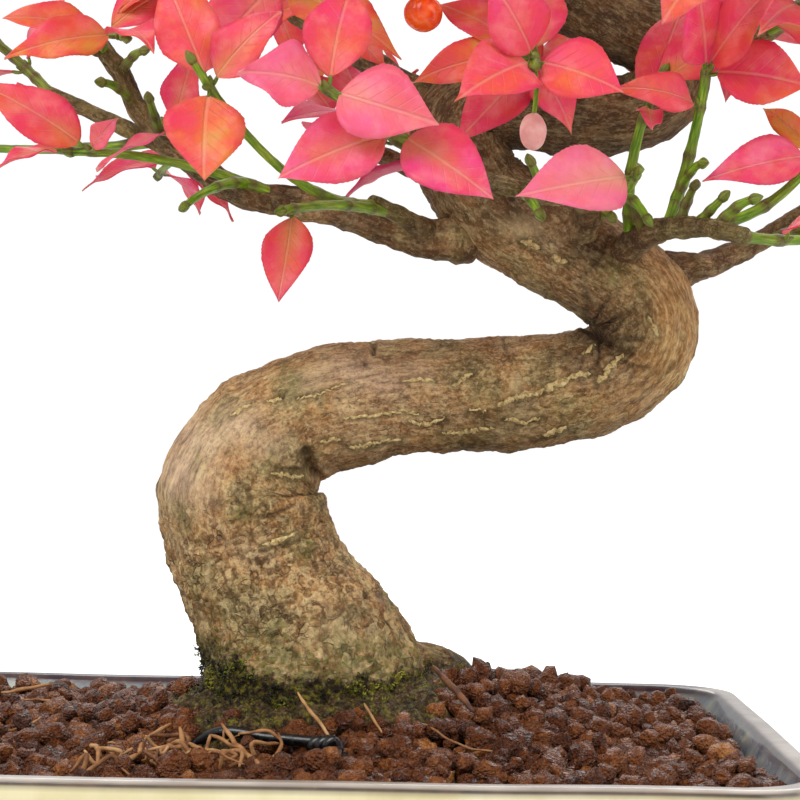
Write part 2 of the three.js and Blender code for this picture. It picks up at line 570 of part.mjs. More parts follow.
function leafFits(leaf, siblings, number) {
  return sampleLeaf(leaf).every((point, i) => (
    !blocksFront(point)
    && clearOf(leafSamples, point, RULE.leafClear, number)
    && clearOf(twigSamples, point, RULE.twigClear, number)
    && (i === 0 || siblings.every((other) => (
      sampleLeaf(other).slice(1).every((taken) => span(sub(taken, point)) > RULE.ownClear)
    )))
    && woodDistance(point) > RULE.woodClear
  ));
}
function twigFits(shoot, number) {
  for (let i = 1; i <= 10; i++) {
    const point = twigPoint(shoot, i / 10);
    if (span(sub(point, shoot.foot)) < RULE.footFree) continue;
    if (!clearOf(leafSamples, point, RULE.leafClear - 1, number)) return false;
    if (!clearOf(twigSamples, point, RULE.twigClear, number)) return false;
    if (woodDistance(point) < RULE.woodClear - 1) return false;
    if (i > 6 && blocksFront(point)) return false;
  }
  return true;
}

// Leaves in opposite pairs, each pair a quarter turn round the twig from the last, with their upper
// faces to the sky and to the shoot's tip.
function setLeaves(shoot, number) {
  const firstTurn = draw(0, 180);
  const [footLevel, footRise] = twigFrame(twigWay(shoot, 0));
  const corner = radians(firstTurn + 45);
  shoot.corner = add(scale(footLevel, Math.cos(corner)), scale(footRise, Math.sin(corner)));
  for (let pair = 0; pair < RULE.pairs; pair++) {
    const t = RULE.lastPair - RULE.spacing * (RULE.pairs - 1 - pair);
    const root = twigPoint(shoot, t);
    const way = twigWay(shoot, t);
    const [level, rise] = twigFrame(way);
    for (let half = 0; half < 2; half++) {
      for (let attempt = 0; attempt < RULE.leafAttempts; attempt++) {
        const around = radians(firstTurn + 90 * pair + 180 * half + draw(...RULE.aroundJitter));
        const spread = radians(draw(...RULE.spread));
        const length = draw(...RULE.leafLength);
        const width = length * draw(...RULE.widthShare);
        const droop = draw(...RULE.droop);
        const outward = add(scale(level, Math.cos(around)), scale(rise, Math.sin(around)));
        const heading = add(scale(way, Math.cos(spread)), scale(outward, Math.sin(spread)));
        const tip = add(root, scale(unit(sub(heading, scale(UP, droop))), length));
        const aside = [draw(...RULE.faceSide), draw(...RULE.faceFront), 0];
        const face = add(add(UP, scale(way, RULE.faceAlong)), aside);
        const leaf = makeLeaf(shoot, t, tip, width, face);
        if (leafFits(leaf, shoot.leaves, number)) {
          shoot.leaves.push(leaf);
          break;
        }
      }
    }
  }
}

// One shoot by the rule: from a branch's end it goes on outwards, further back it forks to a side.
function shootByRule(points, order, number) {
  const line = limbLine(points);
  const place = 1 - RULE.forkStep * order;
  const foot = line(place).point;
  const ahead = unit(sub(line(place).point, line(place - RULE.lookBack).point));
  const side = unit(cross(UP, ahead));
  const hand = order % 2 === 0 ? 1 : -1;
  for (let attempt = 0; attempt < RULE.attempts; attempt++) {
    const turn = order === 0 ? draw(...RULE.endTurn) : hand * draw(...RULE.sideTurn);
    const lift = draw(...RULE.lift);
    const length = draw(...RULE.shootLength);
    const way = unit(add(add(ahead, scale(side, turn)), scale(UP, lift)));
    const bow = [draw(...RULE.bowAside), draw(...RULE.bowAside), draw(...RULE.bowRise)];
    const shoot = { foot, tip: add(foot, scale(way, length)), bow, leaves: [] };
    if (!twigFits(shoot, number)) continue;
    setLeaves(shoot, number);
    if (shoot.leaves.length >= RULE.fewestLeaves) return shoot;
  }
  return null;
}

// All shoots of the tree: first those set by hand, then those of the rule.
function growShoots() {
  const shoots = HAND_SHOOTS.map((plan) => {
    const shoot = { foot: plan.foot, tip: plan.tip, bow: plan.bow, side: plan.side, fruit: plan.fruit };
    shoot.leaves = plan.leaves.map(([along, x, y, z, width, facing]) => {
      const face = [0, -Math.sin(radians(facing)), Math.cos(radians(facing))];
      return makeLeaf(shoot, along, [x, y, z], width, face);
    });
    return shoot;
  });
  shoots.forEach(record);
  const places = SHOOTS_BY_RULE.flatMap(([name, count]) => (
    Array.from({ length: count }, (_, order) => [BRANCHES[name], order])
  ));
  for (let order = 0; order < APEX_SHOOTS; order++) places.push([TRUNK.slice(-4), order]);
  for (const [name, order] of LATE_SHOOTS) places.push([BRANCHES[name], order]);
  places.forEach(([points, order], i) => {
    reseed(RULE.seed + 7919 * i);
    const shoot = shootByRule(points, order, shoots.length);
    if (!shoot) return;
    if (i % RULE.fruitEvery === RULE.firstFruit) shoot.fruit = RULE.fruit;
    record(shoot, shoots.length);
    shoots.push(shoot);
  });
  return shoots;
}

// A fruit: a seed in its orange coat, hung by a short stalk under its lobed capsule.
function fruitSolids(shoot) {
  const { along, drop, radius } = shoot.fruit;
  const top = twigPoint(shoot, along);
  const capsule = sub(top, [0, 0, drop - radius * FRUIT.capsuleAbove]);
  const stalk = limb([[...top, FRUIT.stalkFoot], [...capsule, FRUIT.stalkEnd]], 3, 2);
  const cap = new THREE.SphereGeometry(radius * FRUIT.capsule, 6, 3).rotateX(Math.PI / 2);
  cap.scale(FRUIT.capsuleWide, FRUIT.capsuleWide, FRUIT.capsuleTall).translate(...capsule);
  const seed = new THREE.SphereGeometry(radius, 8, 5).rotateX(Math.PI / 2);
  seed.translate(top[0], top[1], top[2] - drop);
  return [solid(stalk), solid(cap), solid(seed)];
}

// A leafy spray in one piece. Its foot is cut to the bark that it springs from, with a small gap.
function spray(shoot, woodToClear) {
  const parts = [shootSolid(shoot)];
  if (shoot.side) {
    const branchlet = { foot: twigPoint(shoot, shoot.side.along), tip: shoot.side.tip, bow: TWIG.sideBow };
    parts.push(shootSolid({ ...branchlet, leaves: [] }));
  }
  if (shoot.fruit) parts.push(...fruitSolids(shoot));
  return largestPiece(joined(parts).subtract(woodToClear).simplify(SLIVER / 4));
}

// A rectangular ring with round corners.
function roundedRing(halfLength, halfDepth, radius, z, centre = [0, 0], steps = TRAY.cornerSteps) {
  const corners = [[1, 1], [-1, 1], [-1, -1], [1, -1]];
  return corners.flatMap(([sx, sy], quarter) => {
    const points = [];
    for (let i = 0; i <= steps; i++) {
      const angle = Math.PI / 2 * (quarter + i / steps);
      points.push([
        centre[0] + sx * (halfLength - radius) + radius * Math.cos(angle),
        centre[1] + sy * (halfDepth - radius) + radius * Math.sin(angle),
        z,
      ]);
    }
    return points;
  });
}
function trayRing([inset, z]) {
  const cornerRadius = TRAY.cornerRadius - TRAY.cornerShrink * inset;
  return roundedRing(TRAY.length / 2 - inset, TRAY.depth / 2 - inset, cornerRadius, z);
}

// An upright cylinder round the origin's height, as a cutter for a drain hole.
function drill(x) {
  const { holeRadius, drillLength, holeSides } = TRAY;
  const cylinder = new THREE.CylinderGeometry(holeRadius, holeRadius, drillLength, holeSides);
  return solid(cylinder.rotateX(Math.PI / 2).translate(x, 0, 0));
}

// The tray with its four feet and two drain holes.
function tray() {
  const walls = solid(skin([...WALL_OUTSIDE, ...RIM_TOP, ...WALL_INSIDE].map(trayRing)));
  const feet = [-1, 1].flatMap((sx) => [-1, 1].map((sy) => {
    const centre = [sx * TRAY_FOOT.x, sy * TRAY_FOOT.y];
    const ring = (z, spread) => roundedRing(
      TRAY_FOOT.halfLength + spread, TRAY_FOOT.halfDepth + spread, TRAY_FOOT.cornerRadius, z, centre, 1,
    );
    return solid(skin([ring(0, 0), ring(TRAY_FOOT.height, 0.8)]));
  }));
  const holes = [-1, 1].map((side) => drill(side * TRAY.holeX));
  return joined([walls, ...feet]).subtract(joined(holes));
}

// A drainage mesh: a thin plate with nine square openings, flat on the floor over a drain hole.
function drainMesh(x) {
  const z = FLOOR_TOP + GAP + MESH.thickness / 2;
  const plate = solid(new THREE.BoxGeometry(MESH.side, MESH.side, MESH.thickness).translate(x, 0, z));
  const pitch = MESH.opening + MESH.bar;
  const openings = [-1, 0, 1].flatMap((i) => [-1, 0, 1].map((j) => solid(
    new THREE.BoxGeometry(MESH.opening, MESH.opening, 4).translate(x + i * pitch, j * pitch, z),
  )));
  return plate.subtract(joined(openings));
}

// The soil's top without its grains.
function soilHeight(x, y) {
  return MOUNDS.reduce((height, [mx, my, sx, sy, rise]) => (
    height + rise * Math.exp(-((x - mx) ** 2) / (2 * sx * sx) - ((y - my) ** 2) / (2 * sy * sy))
  ), SOIL.edgeHeight);
}

// The soil: a height field of coarse grains, cut to the tray's inside and to what stands in it.
function soil(woodToClear, wireToClear) {
  const halfX = TRAY.length / 2 - 2;
  const halfY = TRAY.depth / 2 - 2;
  const columns = Math.round(2 * halfX / SOIL.cell);
  const rows = Math.round(2 * halfY / SOIL.cell);
  const bottom = FLOOR_TOP - 1;
  reseed(SOIL.seed);
  const positions = [];
  for (let row = 0; row <= rows; row++) {
    for (let column = 0; column <= columns; column++) {
      const x = -halfX + 2 * halfX * column / columns + draw(-SOIL.jitter, SOIL.jitter) * SOIL.cell;
      const y = -halfY + 2 * halfY * row / rows + draw(-SOIL.jitter, SOIL.jitter) * SOIL.cell;
      const raised = (row + column) % 2 === 0 ? 1 : SOIL.sunk;
      positions.push(x, y, soilHeight(x, y) + SOIL.grain * raised * draw(...SOIL.raise));
    }
  }
  const at = (column, row) => row * (columns + 1) + column;
  const faces = [];
  for (let row = 0; row < rows; row++) {
    for (let column = 0; column < columns; column++) {
      const [a, b] = [at(column, row), at(column + 1, row)];
      const [c, d] = [at(column + 1, row + 1), at(column, row + 1)];
      faces.push(a, b, c, a, c, d);
    }
  }
  const border = [];
  for (let i = 0; i < columns; i++) border.push(at(i, 0));
  for (let i = 0; i < rows; i++) border.push(at(columns, i));
  for (let i = columns; i > 0; i--) border.push(at(i, rows));
  for (let i = rows; i > 0; i--) border.push(at(0, i));
  const lower = positions.length / 3;
  for (const i of border) positions.push(positions[3 * i], positions[3 * i + 1], bottom);
  const centre = positions.length / 3;
  positions.push(0, 0, bottom);
  border.forEach((top, i) => {
    const next = (i + 1) % border.length;
    faces.push(top, lower + i, lower + next, top, lower + next, border[next]);
    faces.push(centre, lower + next, lower + i);
  });
  const heap = solid(closedGeometry(positions, faces));
  const inside = [...WALL_INSIDE].reverse().map(([inset, z]) => [inset + SOIL.clear, z + SOIL.clear]);
  const room = solid(skin([...inside, [inside[inside.length - 1][0], SOIL.roomTop]].map(trayRing)));
  const pocketSide = MESH.side + 2 * SOIL.clear;
  const pockets = [-1, 1].map((side) => {
    const pocket = new THREE.BoxGeometry(pocketSide, pocketSide, MESH.thickness + 2 * SOIL.clear);
    return solid(pocket.translate(side * TRAY.holeX, 0, FLOOR_TOP + GAP + MESH.thickness / 2));
  });
  const bed = heap.intersect(room).subtract(joined([woodToClear, wireToClear, ...pockets]));
  return largestPiece(bed).simplify(2 * SLIVER);
}

// The anchor wire's way: out of its twist in front of the trunk, down through one drain hole, along
// under the tray, up through the other hole and back to the twist.
function wireWay() {
  const onSoil = (x, y) => [x, y, soilHeight(x, y) + WIRE.lie];
  return [
    onSoil(...TWIST.start), onSoil(-4, -38.5), onSoil(-15, -34.5), [-27, -26, 44], [-38, -13, 32],
    [-46.5, -2, 22], [-48, 0, 15], [-48, 0, 9], [-45.5, 0, 4.4], [-40, 0, 3], [-20, 0, 3], [0, 0, 3],
    [20, 0, 3], [40, 0, 3], [45.5, 0, 4.4], [48, 0, 9], [48, 0, 15], [47, -2, 22], [41, -14, 32],
    [28, -34, 42], [16, -40, 48.5], [8.5, -40.8, 51.6],
  ];
}
function wireTube(points, radius, steps) {
  const outline = new THREE.Shape();
  for (let i = 0; i < WIRE.sides; i++) {
    const angle = 2 * Math.PI * i / WIRE.sides;
    const corner = [radius * Math.cos(angle), radius * Math.sin(angle)];
    if (i === 0) outline.moveTo(...corner);
    else outline.lineTo(...corner);
  }
  const path = new THREE.CatmullRomCurve3(points.map((point) => new THREE.Vector3(...point)));
  return solid(new THREE.ExtrudeGeometry(outline, { extrudePath: path, steps, bevelEnabled: false }));
}
function anchorWire(grow = 0) {
  const start = [...TWIST.start, soilHeight(...TWIST.start) + TWIST.startRise];
  const end = [...TWIST.end, soilHeight(...TWIST.end) + TWIST.endRise];
  const [level, rise] = twigFrame(unit(sub(end, start)));
  const rings = [];
  for (let i = 0; i <= TWIST.rings; i++) {
    const centre = mix(start, end, i / TWIST.rings);
    const turn = 2 * Math.PI * TWIST.turns * i / TWIST.rings;
    const ring = [];
    for (let j = 0; j < TWIST.sides; j++) {
      const angle = 2 * Math.PI * j / TWIST.sides;
      const reach = (WIRE.radius + grow) * (TWIST.reach + TWIST.lobe * Math.cos(2 * angle));
      const way = add(scale(level, Math.cos(angle + turn)), scale(rise, Math.sin(angle + turn)));
      ring.push(add(centre, scale(way, reach)));
    }
    rings.push(ring.reverse());
  }
  return wireTube(wireWay(), WIRE.radius + grow, WIRE.steps).add(solid(skin(rings)));
}

// The whole object, one mesh a piece.
const bonsai = new THREE.Group();
function addPiece(name, body, material) {
  const mesh = new THREE.Mesh(geometryOf(body), material);
  mesh.name = name;
  bonsai.add(mesh);
}

const grownWood = wood(GAP);
addPiece("pot", tray(), GLAZE);
addPiece("drain_mesh_left", drainMesh(-TRAY.holeX), GRID_PLASTIC);
addPiece("drain_mesh_right", drainMesh(TRAY.holeX), GRID_PLASTIC);
addPiece("anchor_wire", anchorWire(), WIRE_COAT);
addPiece("soil", soil(grownWood, anchorWire(SOIL.clear)), EARTH);
addPiece("trunk", wood(), BARK);
growShoots().forEach((shoot, i) => {
  addPiece(`spray_${String(i + 1).padStart(2, "0")}`, spray(shoot, grownWood), LEAF);
});

const box = new THREE.Box3().setFromObject(bonsai);
const middle = box.getCenter(new THREE.Vector3());
bonsai.position.set(-Math.round(middle.x), -Math.round(middle.y), 0);

export default bonsai;
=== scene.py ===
"""A euonymus bonsai in its glazed tray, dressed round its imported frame.

Sizes in this file are millimetres from the tray's middle on the table, +Z up, with the front of the
tree towards -Y. They turn into the frame's metres where a mesh, a lamp or the camera is placed.
"""
import logging
import math
from collections.abc import Sequence
from dataclasses import dataclass, field
from enum import Enum
from functools import partial, reduce

import bmesh
import bpy
import numpy as np
from mathutils import Matrix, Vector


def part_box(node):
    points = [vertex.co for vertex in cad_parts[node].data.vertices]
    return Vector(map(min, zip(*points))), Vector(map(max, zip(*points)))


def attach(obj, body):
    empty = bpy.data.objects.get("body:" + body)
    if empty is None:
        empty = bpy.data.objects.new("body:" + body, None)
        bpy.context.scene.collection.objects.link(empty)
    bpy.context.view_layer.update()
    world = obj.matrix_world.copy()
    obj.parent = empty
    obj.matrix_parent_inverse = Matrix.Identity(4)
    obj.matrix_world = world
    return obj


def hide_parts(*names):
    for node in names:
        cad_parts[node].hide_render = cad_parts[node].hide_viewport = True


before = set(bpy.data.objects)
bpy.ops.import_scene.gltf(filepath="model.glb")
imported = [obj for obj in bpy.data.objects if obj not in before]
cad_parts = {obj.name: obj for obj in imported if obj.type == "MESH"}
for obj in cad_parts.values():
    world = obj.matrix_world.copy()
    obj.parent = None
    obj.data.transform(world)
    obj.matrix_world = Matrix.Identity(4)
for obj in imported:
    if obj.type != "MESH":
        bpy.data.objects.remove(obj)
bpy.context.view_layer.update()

LOG = logging.getLogger("bonsai")
Array = np.ndarray
Socket = bpy.types.NodeSocket
MM = 0.001
UP = np.array([0.0, 0.0, 1.0])

POT_LOW, POT_HIGH = (np.array(corner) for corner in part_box("pot"))
TRAY_MIDDLE = np.array([(POT_LOW[0] + POT_HIGH[0]) / 2, (POT_LOW[1] + POT_HIGH[1]) / 2, 0.0])

# The camera of the photograph: level, and rolled by one degree.
EYE = np.array([21.0, -511.5, 122.6])
LENS = 105.3
SENSOR = 36.0
ROLL = math.radians(1.0)

# The trunk's middle line, each point [x, y, z, radius], from the root collar to the apex.
TRUNK = np.array([
    [6.5, 0, 40, 25], [4.6, 0, 53, 23.8], [2, 0, 64.5, 23.2], [-1.7, 0.3, 72.2, 21],
    [-6.8, 0.6, 81, 18.3], [-11, 1, 90, 18.2], [-13.2, 1, 97.5, 18.5], [-13.5, 1, 104, 17.3],
    [-9.5, 1, 111.5, 15.8], [-3, 0.5, 117, 13.9], [4, 0, 120, 13.7], [12, 0, 121.5, 13.3],
    [22, 0, 123.4, 12.4], [33, 0, 124, 12.3], [44, 0, 124.2, 12.9], [54, -0.5, 125.5, 12.4],
    [63.3, -1, 127.6, 11.9], [69.4, -1.5, 130.7, 11.5], [73.3, -2, 136, 11.7], [73.7, -2, 142, 11.8],
    [69.8, -1.5, 147.8, 11.5], [61, -1, 153.3, 11], [52.6, 0, 158.2, 11.3], [44.4, 0.5, 163.3, 11.5],
    [37.8, 1, 168.8, 11.2], [34, 1.5, 175.5, 10.9], [33, 2, 182, 10.9], [37, 2, 187.2, 10.5],
    [45, 1.5, 187.5, 9.9], [57, 1, 185.8, 9.2], [68, 0.5, 186, 8.7], [76.5, 0, 189, 8.3],
    [80, 0, 194.5, 8.3], [77, 0, 200.7, 8.3], [69, 0.5, 205.5, 8.5], [60, 1, 210.8, 8.4],
    [50, 1.5, 217, 8.0], [38, 2, 225, 7.2], [31, 2, 231, 6.6], [30.5, 1, 238, 6.0], [36, 0, 243.5, 5.4],
    [45, -1, 246.5, 4.8], [54, -1.5, 250, 4.2], [57, -1, 256, 3.6], [53, 0, 262, 3.0],
    [48, 1, 270, 2.2],
])
ROOTS = [np.array(root) for root in (
    [[16, 4, 62, 9], [30, 9, 61.5, 6.4], [42, 14, 55, 4.4], [54, 20, 46, 2.6]],
    [[0, -8, 58, 10], [-8, -21, 51, 6.4], [-16, -33, 43, 3.2]],
    [[14, -7, 57, 10], [22, -19, 51, 6.4], [27, -28, 44, 3.4]],
    [[-4, 6, 57, 10], [-18, 19, 50, 5.6], [-30, 30, 42, 3.2]],
    [[8, 8, 56, 9], [10, 26, 49, 5.2], [12, 40, 41, 3.2]],
    [[18, -1, 52, 8], [34, -5, 46, 5], [47, -9, 39, 3.2]],
)]
BRANCHES = {name: np.array(points) for name, points in {
    "leftBranch": [
        [36, -1, 158, 5.4], [27, -3, 157.7, 4.5], [20, -4, 159.3, 3.9], [12.7, -4, 161.4, 3.5],
        [4, -3, 164, 3.3], [-4, -2, 165.4, 3.3], [-12.6, -1, 166.6, 3.1], [-19, 0, 169.4, 3.0],
        [-26, 1, 174.3, 2.6], [-32.5, 2, 179.6, 2.4], [-38, 2, 186.1, 2.2], [-41.5, 2, 193.2, 2.1],
        [-45.9, 2, 199, 2.0],
    ],
    "leftFork": [
        [-27, 1.2, 175.4, 2.2], [-34, 3, 178.5, 1.9], [-45, 5.5, 183.5, 1.7], [-58, 8.5, 189.5, 1.4],
    ],
    "collarSpur": [[28, -2, 158, 3.2], [22, -12, 161, 2.0], [14.4, -21.5, 164, 1.5]],
    "frontRight": [
        [66, -3, 151, 5.2], [69.5, -14, 156.3, 3.2], [74, -28, 158.6, 2.4], [80.3, -42, 158.3, 2.0],
        [87.5, -56.5, 155.8, 1.6],
    ],
    "frontLeft": [
        [56, -3, 157, 5], [60, -15, 161.5, 2.9], [57.5, -30, 164.8, 2.3], [48, -49, 164, 2.0],
        [36, -59, 165.5, 1.7],
    ],
    "brokenStub": [[74, -1, 150, 5.4], [83.9, 0, 152.6, 3.4], [88, 0.5, 152.8, 2.6]],
    "backLeft": [[44, 5, 165, 4], [38, 18, 169, 3], [26, 31, 175, 2.4], [12, 42, 182, 1.9]],
    "backRight": [[70, 3, 147, 5], [86, 15, 153, 3.2], [102, 27, 160, 2.4], [116, 37, 169, 1.8]],
    "right": [[76, 0, 194, 5], [87, 4, 198, 3], [98, 5, 204, 2.3], [108, 3, 210, 1.8]],
    "midFront": [[53, -3, 186.5, 4], [50.5, -17, 189, 2.6], [47, -31, 189, 2.0]],
    "midFrontRight": [[71, -3, 190, 4], [79, -17, 197, 2.6], [90, -30, 205, 2.0], [102, -40, 212, 1.6]],
    "midBack": [[58, 4, 188, 4], [60, 19, 194, 2.8], [65, 34, 202, 2.2], [68, 47, 210, 1.7]],
    "highLeft": [
        [36, 1, 184, 5], [22, 2, 191, 3.1], [6, 1, 201, 2.6], [-12, -3, 212, 2.1], [-28, -8, 221, 1.6],
    ],
    "highLeftBack": [[8, 1, 200, 2.6], [2, 17, 208, 2.1], [-9, 36, 216, 1.6]],
    "highFront": [[47, -2, 219, 4], [37, -15, 226, 2.7], [25, -30, 232, 2.1], [12, -46, 236, 1.6]],
    "highBackRight": [[68, 3, 206, 4], [80, 14, 216, 2.7], [90, 26, 225, 2]],
    "upperLeft": [[31, 1, 234, 4], [18, 4, 243, 2.7], [2, 6, 251, 2.0]],
    "upperRight": [[53, -1, 250, 3.4], [70, -6, 257, 2.4], [86, -10, 262, 1.8]],
    "upperBack": [[44, 1, 246.5, 3.4], [42, 19, 255, 2.3], [37, 36, 262, 1.7]],
    "upperFront": [[50, -2, 248.5, 3], [59, -18, 255, 2.1], [67, -34, 259, 1.6]],
}.items()}

# How many shoots the rule sets on each of the other branches, from its end backwards.
SHOOTS_BY_RULE = [
    ("leftFork", 1), ("backLeft", 2), ("backRight", 3), ("right", 3), ("midFrontRight", 2), ("midBack", 3),
    ("highLeft", 3), ("highLeftBack", 2), ("highFront", 3), ("highBackRight", 2), ("upperLeft", 2),
    ("upperRight", 2), ("upperBack", 2), ("upperFront", 2),
]
APEX_SHOOTS = 2
# Shoots that the rule sets last, further back on some branches.
LATE_SHOOTS = [("backLeft", 2), ("highLeftBack", 2), ("highBackRight", 2), ("upperBack", 2)]


# Short bare twigs with a bud, each from its foot to its tip, on the branches in front.
BARE_TWIGS = np.array([
    [(77, -34, 158), (79, -43, 166)], [(79.5, -40, 158), (84, -47, 163.5)],
    [(72, -22, 157.5), (67, -31, 165)], [(59, -26, 164), (63, -36, 161)],
    [(57, -31, 165), (60, -39, 171)], [(53, -40, 164.6), (58, -49, 162)],
    [(50, -46, 164), (46, -54, 169)], [(60, -15, 161.5), (66, -25, 165.5)],
    [(44, -53, 164.5), (47, -60, 159.5)], [(83, -47, 157.5), (89, -52, 163)],
    [(-38, 2, 186.1), (-44, -6, 190)], [(-41.5, 2, 193.2), (-36, -6, 197)],
    [(-45, 2, 197.6), (-52, -5, 199)], [(-32.5, 2, 179.6), (-34, -7, 186)],
])


def unit(vectors: Array) -> Array:
    """Vectors of length one, the same ways."""
    return vectors / np.maximum(np.linalg.norm(vectors, axis=-1, keepdims=True), 1e-12)


def smooth_step(value: Array, low: float, high: float) -> Array:
    """Rises from 0 at low to 1 at high along the curve 3t^2 - 2t^3."""
    share = np.clip((value - low) / (high - low), 0.0, 1.0)
    return share * share * (3.0 - 2.0 * share)


def hill(distance: Array, width: float) -> Array:
    """A bell of height 1 that falls off over a width: exp(-(distance / width)^2)."""
    return np.exp(-(distance / width) ** 2)


def turns(count: int) -> Array:
    """Even angles round a circle."""
    return 2 * np.pi * np.arange(count) / count


def spokes(first: Array, second: Array, angle: Array) -> Array:
    """Ways round a line, (n, m, 3): one axis times cos(angle) plus the other times sin(angle)."""
    return first[:, None] * np.cos(angle)[None, :, None] + second[:, None] * np.sin(angle)[None, :, None]


def ways(line: Array) -> Array:
    """The way that a line of points travels at each of them."""
    return unit(np.gradient(line, axis=0))


def lengths_along(line: Array) -> Array:
    """How far along a line of points each of them lies."""
    return np.concatenate([[0], np.cumsum(np.linalg.norm(np.diff(line, axis=0), axis=1))])


LATTICE_SLOPES = unit(np.random.default_rng(7).normal(size=(256, 3)))
CORNERS = np.array([[i, j, k] for i in (0, 1) for j in (0, 1) for k in (0, 1)])


def noise(points: Array, size: float, seed: int = 0) -> Array:
    """Smooth noise from about -1 to 1.

    Every corner of a lattice has a random slope. A point's value is the height of its cell's eight
    slopes there, blended with the curve 6t^5 - 15t^4 + 10t^3 along each axis.

    Args:
        points: Places in millimetres, (..., 3).
        size: The lattice's pitch in millimetres.
        seed: Which of many such noises.

    Returns:
        One value for each place.
    """
    scaled = points / size + 17.31 * (seed + 1)
    cell = np.floor(scaled).astype(np.int64)
    part = scaled - cell
    blend = part ** 3 * (part * (part * 6 - 15) + 10)
    total = np.zeros(points.shape[:-1])
    for corner in CORNERS:
        at = cell + corner
        key = (at[..., 0] * 73856093) ^ (at[..., 1] * 19349663) ^ (at[..., 2] * 83492791) ^ (seed * 7919)
        key = (key ^ (key >> 13)) * 1274126177
        slope = LATTICE_SLOPES[(key ^ (key >> 16)) & 255]
        weight = np.prod(np.where(corner == 1, blend, 1 - blend), axis=-1)
        total += weight * np.sum((part - corner) * slope, axis=-1)
    return 1.6 * total


@dataclass
class Skin:
    """A closed surface in the making.

    Fields:
        points: Places in millimetres, (n, 3).
        faces: Corner numbers, (m, 4), with -1 last in a triangle.
        values: One number a point under each name, which the finish reads.
        grain: Places (n, 3) that follow the wood's grain, or None.
        flat: Places (n, 2) on the piece's own map, or None.
        finish: The number of each face's finish, (m,).
    """

    points: Array
    faces: Array
    values: dict[str, Array] = field(default_factory=dict)
    grain: Array | None = None
    flat: Array | None = None
    finish: Array | None = None

    def finished(self, number: int) -> "Skin":
        """The same skin with one finish number all over."""
        self.finish = np.full(len(self.faces), number)
        return self

    @staticmethod
    def joined(skins: Sequence["Skin"]) -> "Skin":
        """Several skins as one, each still closed by itself."""
        starts = np.cumsum([0] + [len(skin.points) for skin in skins[:-1]])
        faces = [np.where(s.faces >= 0, s.faces + start, -1) for s, start in zip(skins, starts)]
        names = {name for skin in skins for name in skin.values}

        def gathered(pick: str, width: int) -> Array | None:
            """One optional field of every skin, with nothing where a skin lacks it."""
            fields = [getattr(skin, pick) for skin in skins]
            if all(grid is None for grid in fields):
                return None
            return np.concatenate([np.zeros((len(skin.points), width)) if grid is None else grid
                                   for skin, grid in zip(skins, fields)])

        return Skin(
            points=np.concatenate([skin.points for skin in skins]),
            faces=np.concatenate(faces),
            values={name: np.concatenate([skin.values.get(name, np.zeros(len(skin.points)))
                                          for skin in skins]) for name in names},
            grain=gathered("grain", 3),
            flat=gathered("flat", 2),
            finish=np.concatenate([np.zeros(len(s.faces), int) if s.finish is None else s.finish
                                   for s in skins]),
        )


def copies(one: Array, count: int, stride: int) -> Array:
    """The faces of many like shapes from those of one: each shape's numbers start a stride further."""
    return np.where(one >= 0, one + np.arange(count)[:, None, None] * stride, -1).reshape(-1, 4)


def with_ends(grid: Array) -> Array:
    """Grid values (k, n, m, ...) as one list, each tube's followed by its two ends' means."""
    ends = np.stack([grid[:, 0].mean(axis=1), grid[:, -1].mean(axis=1)], axis=1)
    flat = grid.reshape(grid.shape[0], -1, *grid.shape[3:])
    return np.concatenate([flat, ends], axis=1).reshape(-1, *grid.shape[3:])


def tubes(rings: Array, values: dict[str, Array] | None = None, grain: Array | None = None,
          flat: Array | None = None) -> Skin:
    """Closed tubes over rings of points.

    Point j of ring i joins point j + 1 and ring i + 1 in one four-sided face, and a fan round the
    ring's middle closes each end. Rings turn to the left about the way that they travel.

    Args:
        rings: Places (k, n, m, 3): k tubes of n rings with m points each.
        values: Numbers (k, n, m) under each name.
        grain: Grain places (k, n, m, 3).
        flat: Map places (k, n, m, 2).

    Returns:
        One skin with all the tubes.
    """
    count, length, sides = rings.shape[:3]
    ring, side = (index.ravel() for index in np.indices((length - 1, sides)))
    after = (side + 1) % sides
    walls = np.stack([ring * sides + side, ring * sides + after,
                      (ring + 1) * sides + after, (ring + 1) * sides + side], axis=1)
    side = np.arange(sides)
    after = (side + 1) % sides
    none = np.full(sides, -1)
    start = np.stack([np.full(sides, length * sides), after, side, none], axis=1)
    last = (length - 1) * sides
    end = np.stack([np.full(sides, length * sides + 1), last + side, last + after, none], axis=1)
    return Skin(
        points=with_ends(rings),
        faces=copies(np.concatenate([walls, start, end]), count, length * sides + 2),
        values={name: with_ends(grid) for name, grid in (values or {}).items()},
        grain=None if grain is None else with_ends(grain),
        flat=None if flat is None else with_ends(flat),
    )


def tube(rings: Array, values: dict[str, object] | None = None, grain: Array | None = None) -> Skin:
    """One closed tube over rings (n, m, 3), with its values spread over the whole grid."""
    spread = {name: np.broadcast_to(numbers, rings.shape[:2])[None].astype(float)
              for name, numbers in (values or {}).items()}
    return tubes(rings[None], spread, None if grain is None else grain[None])


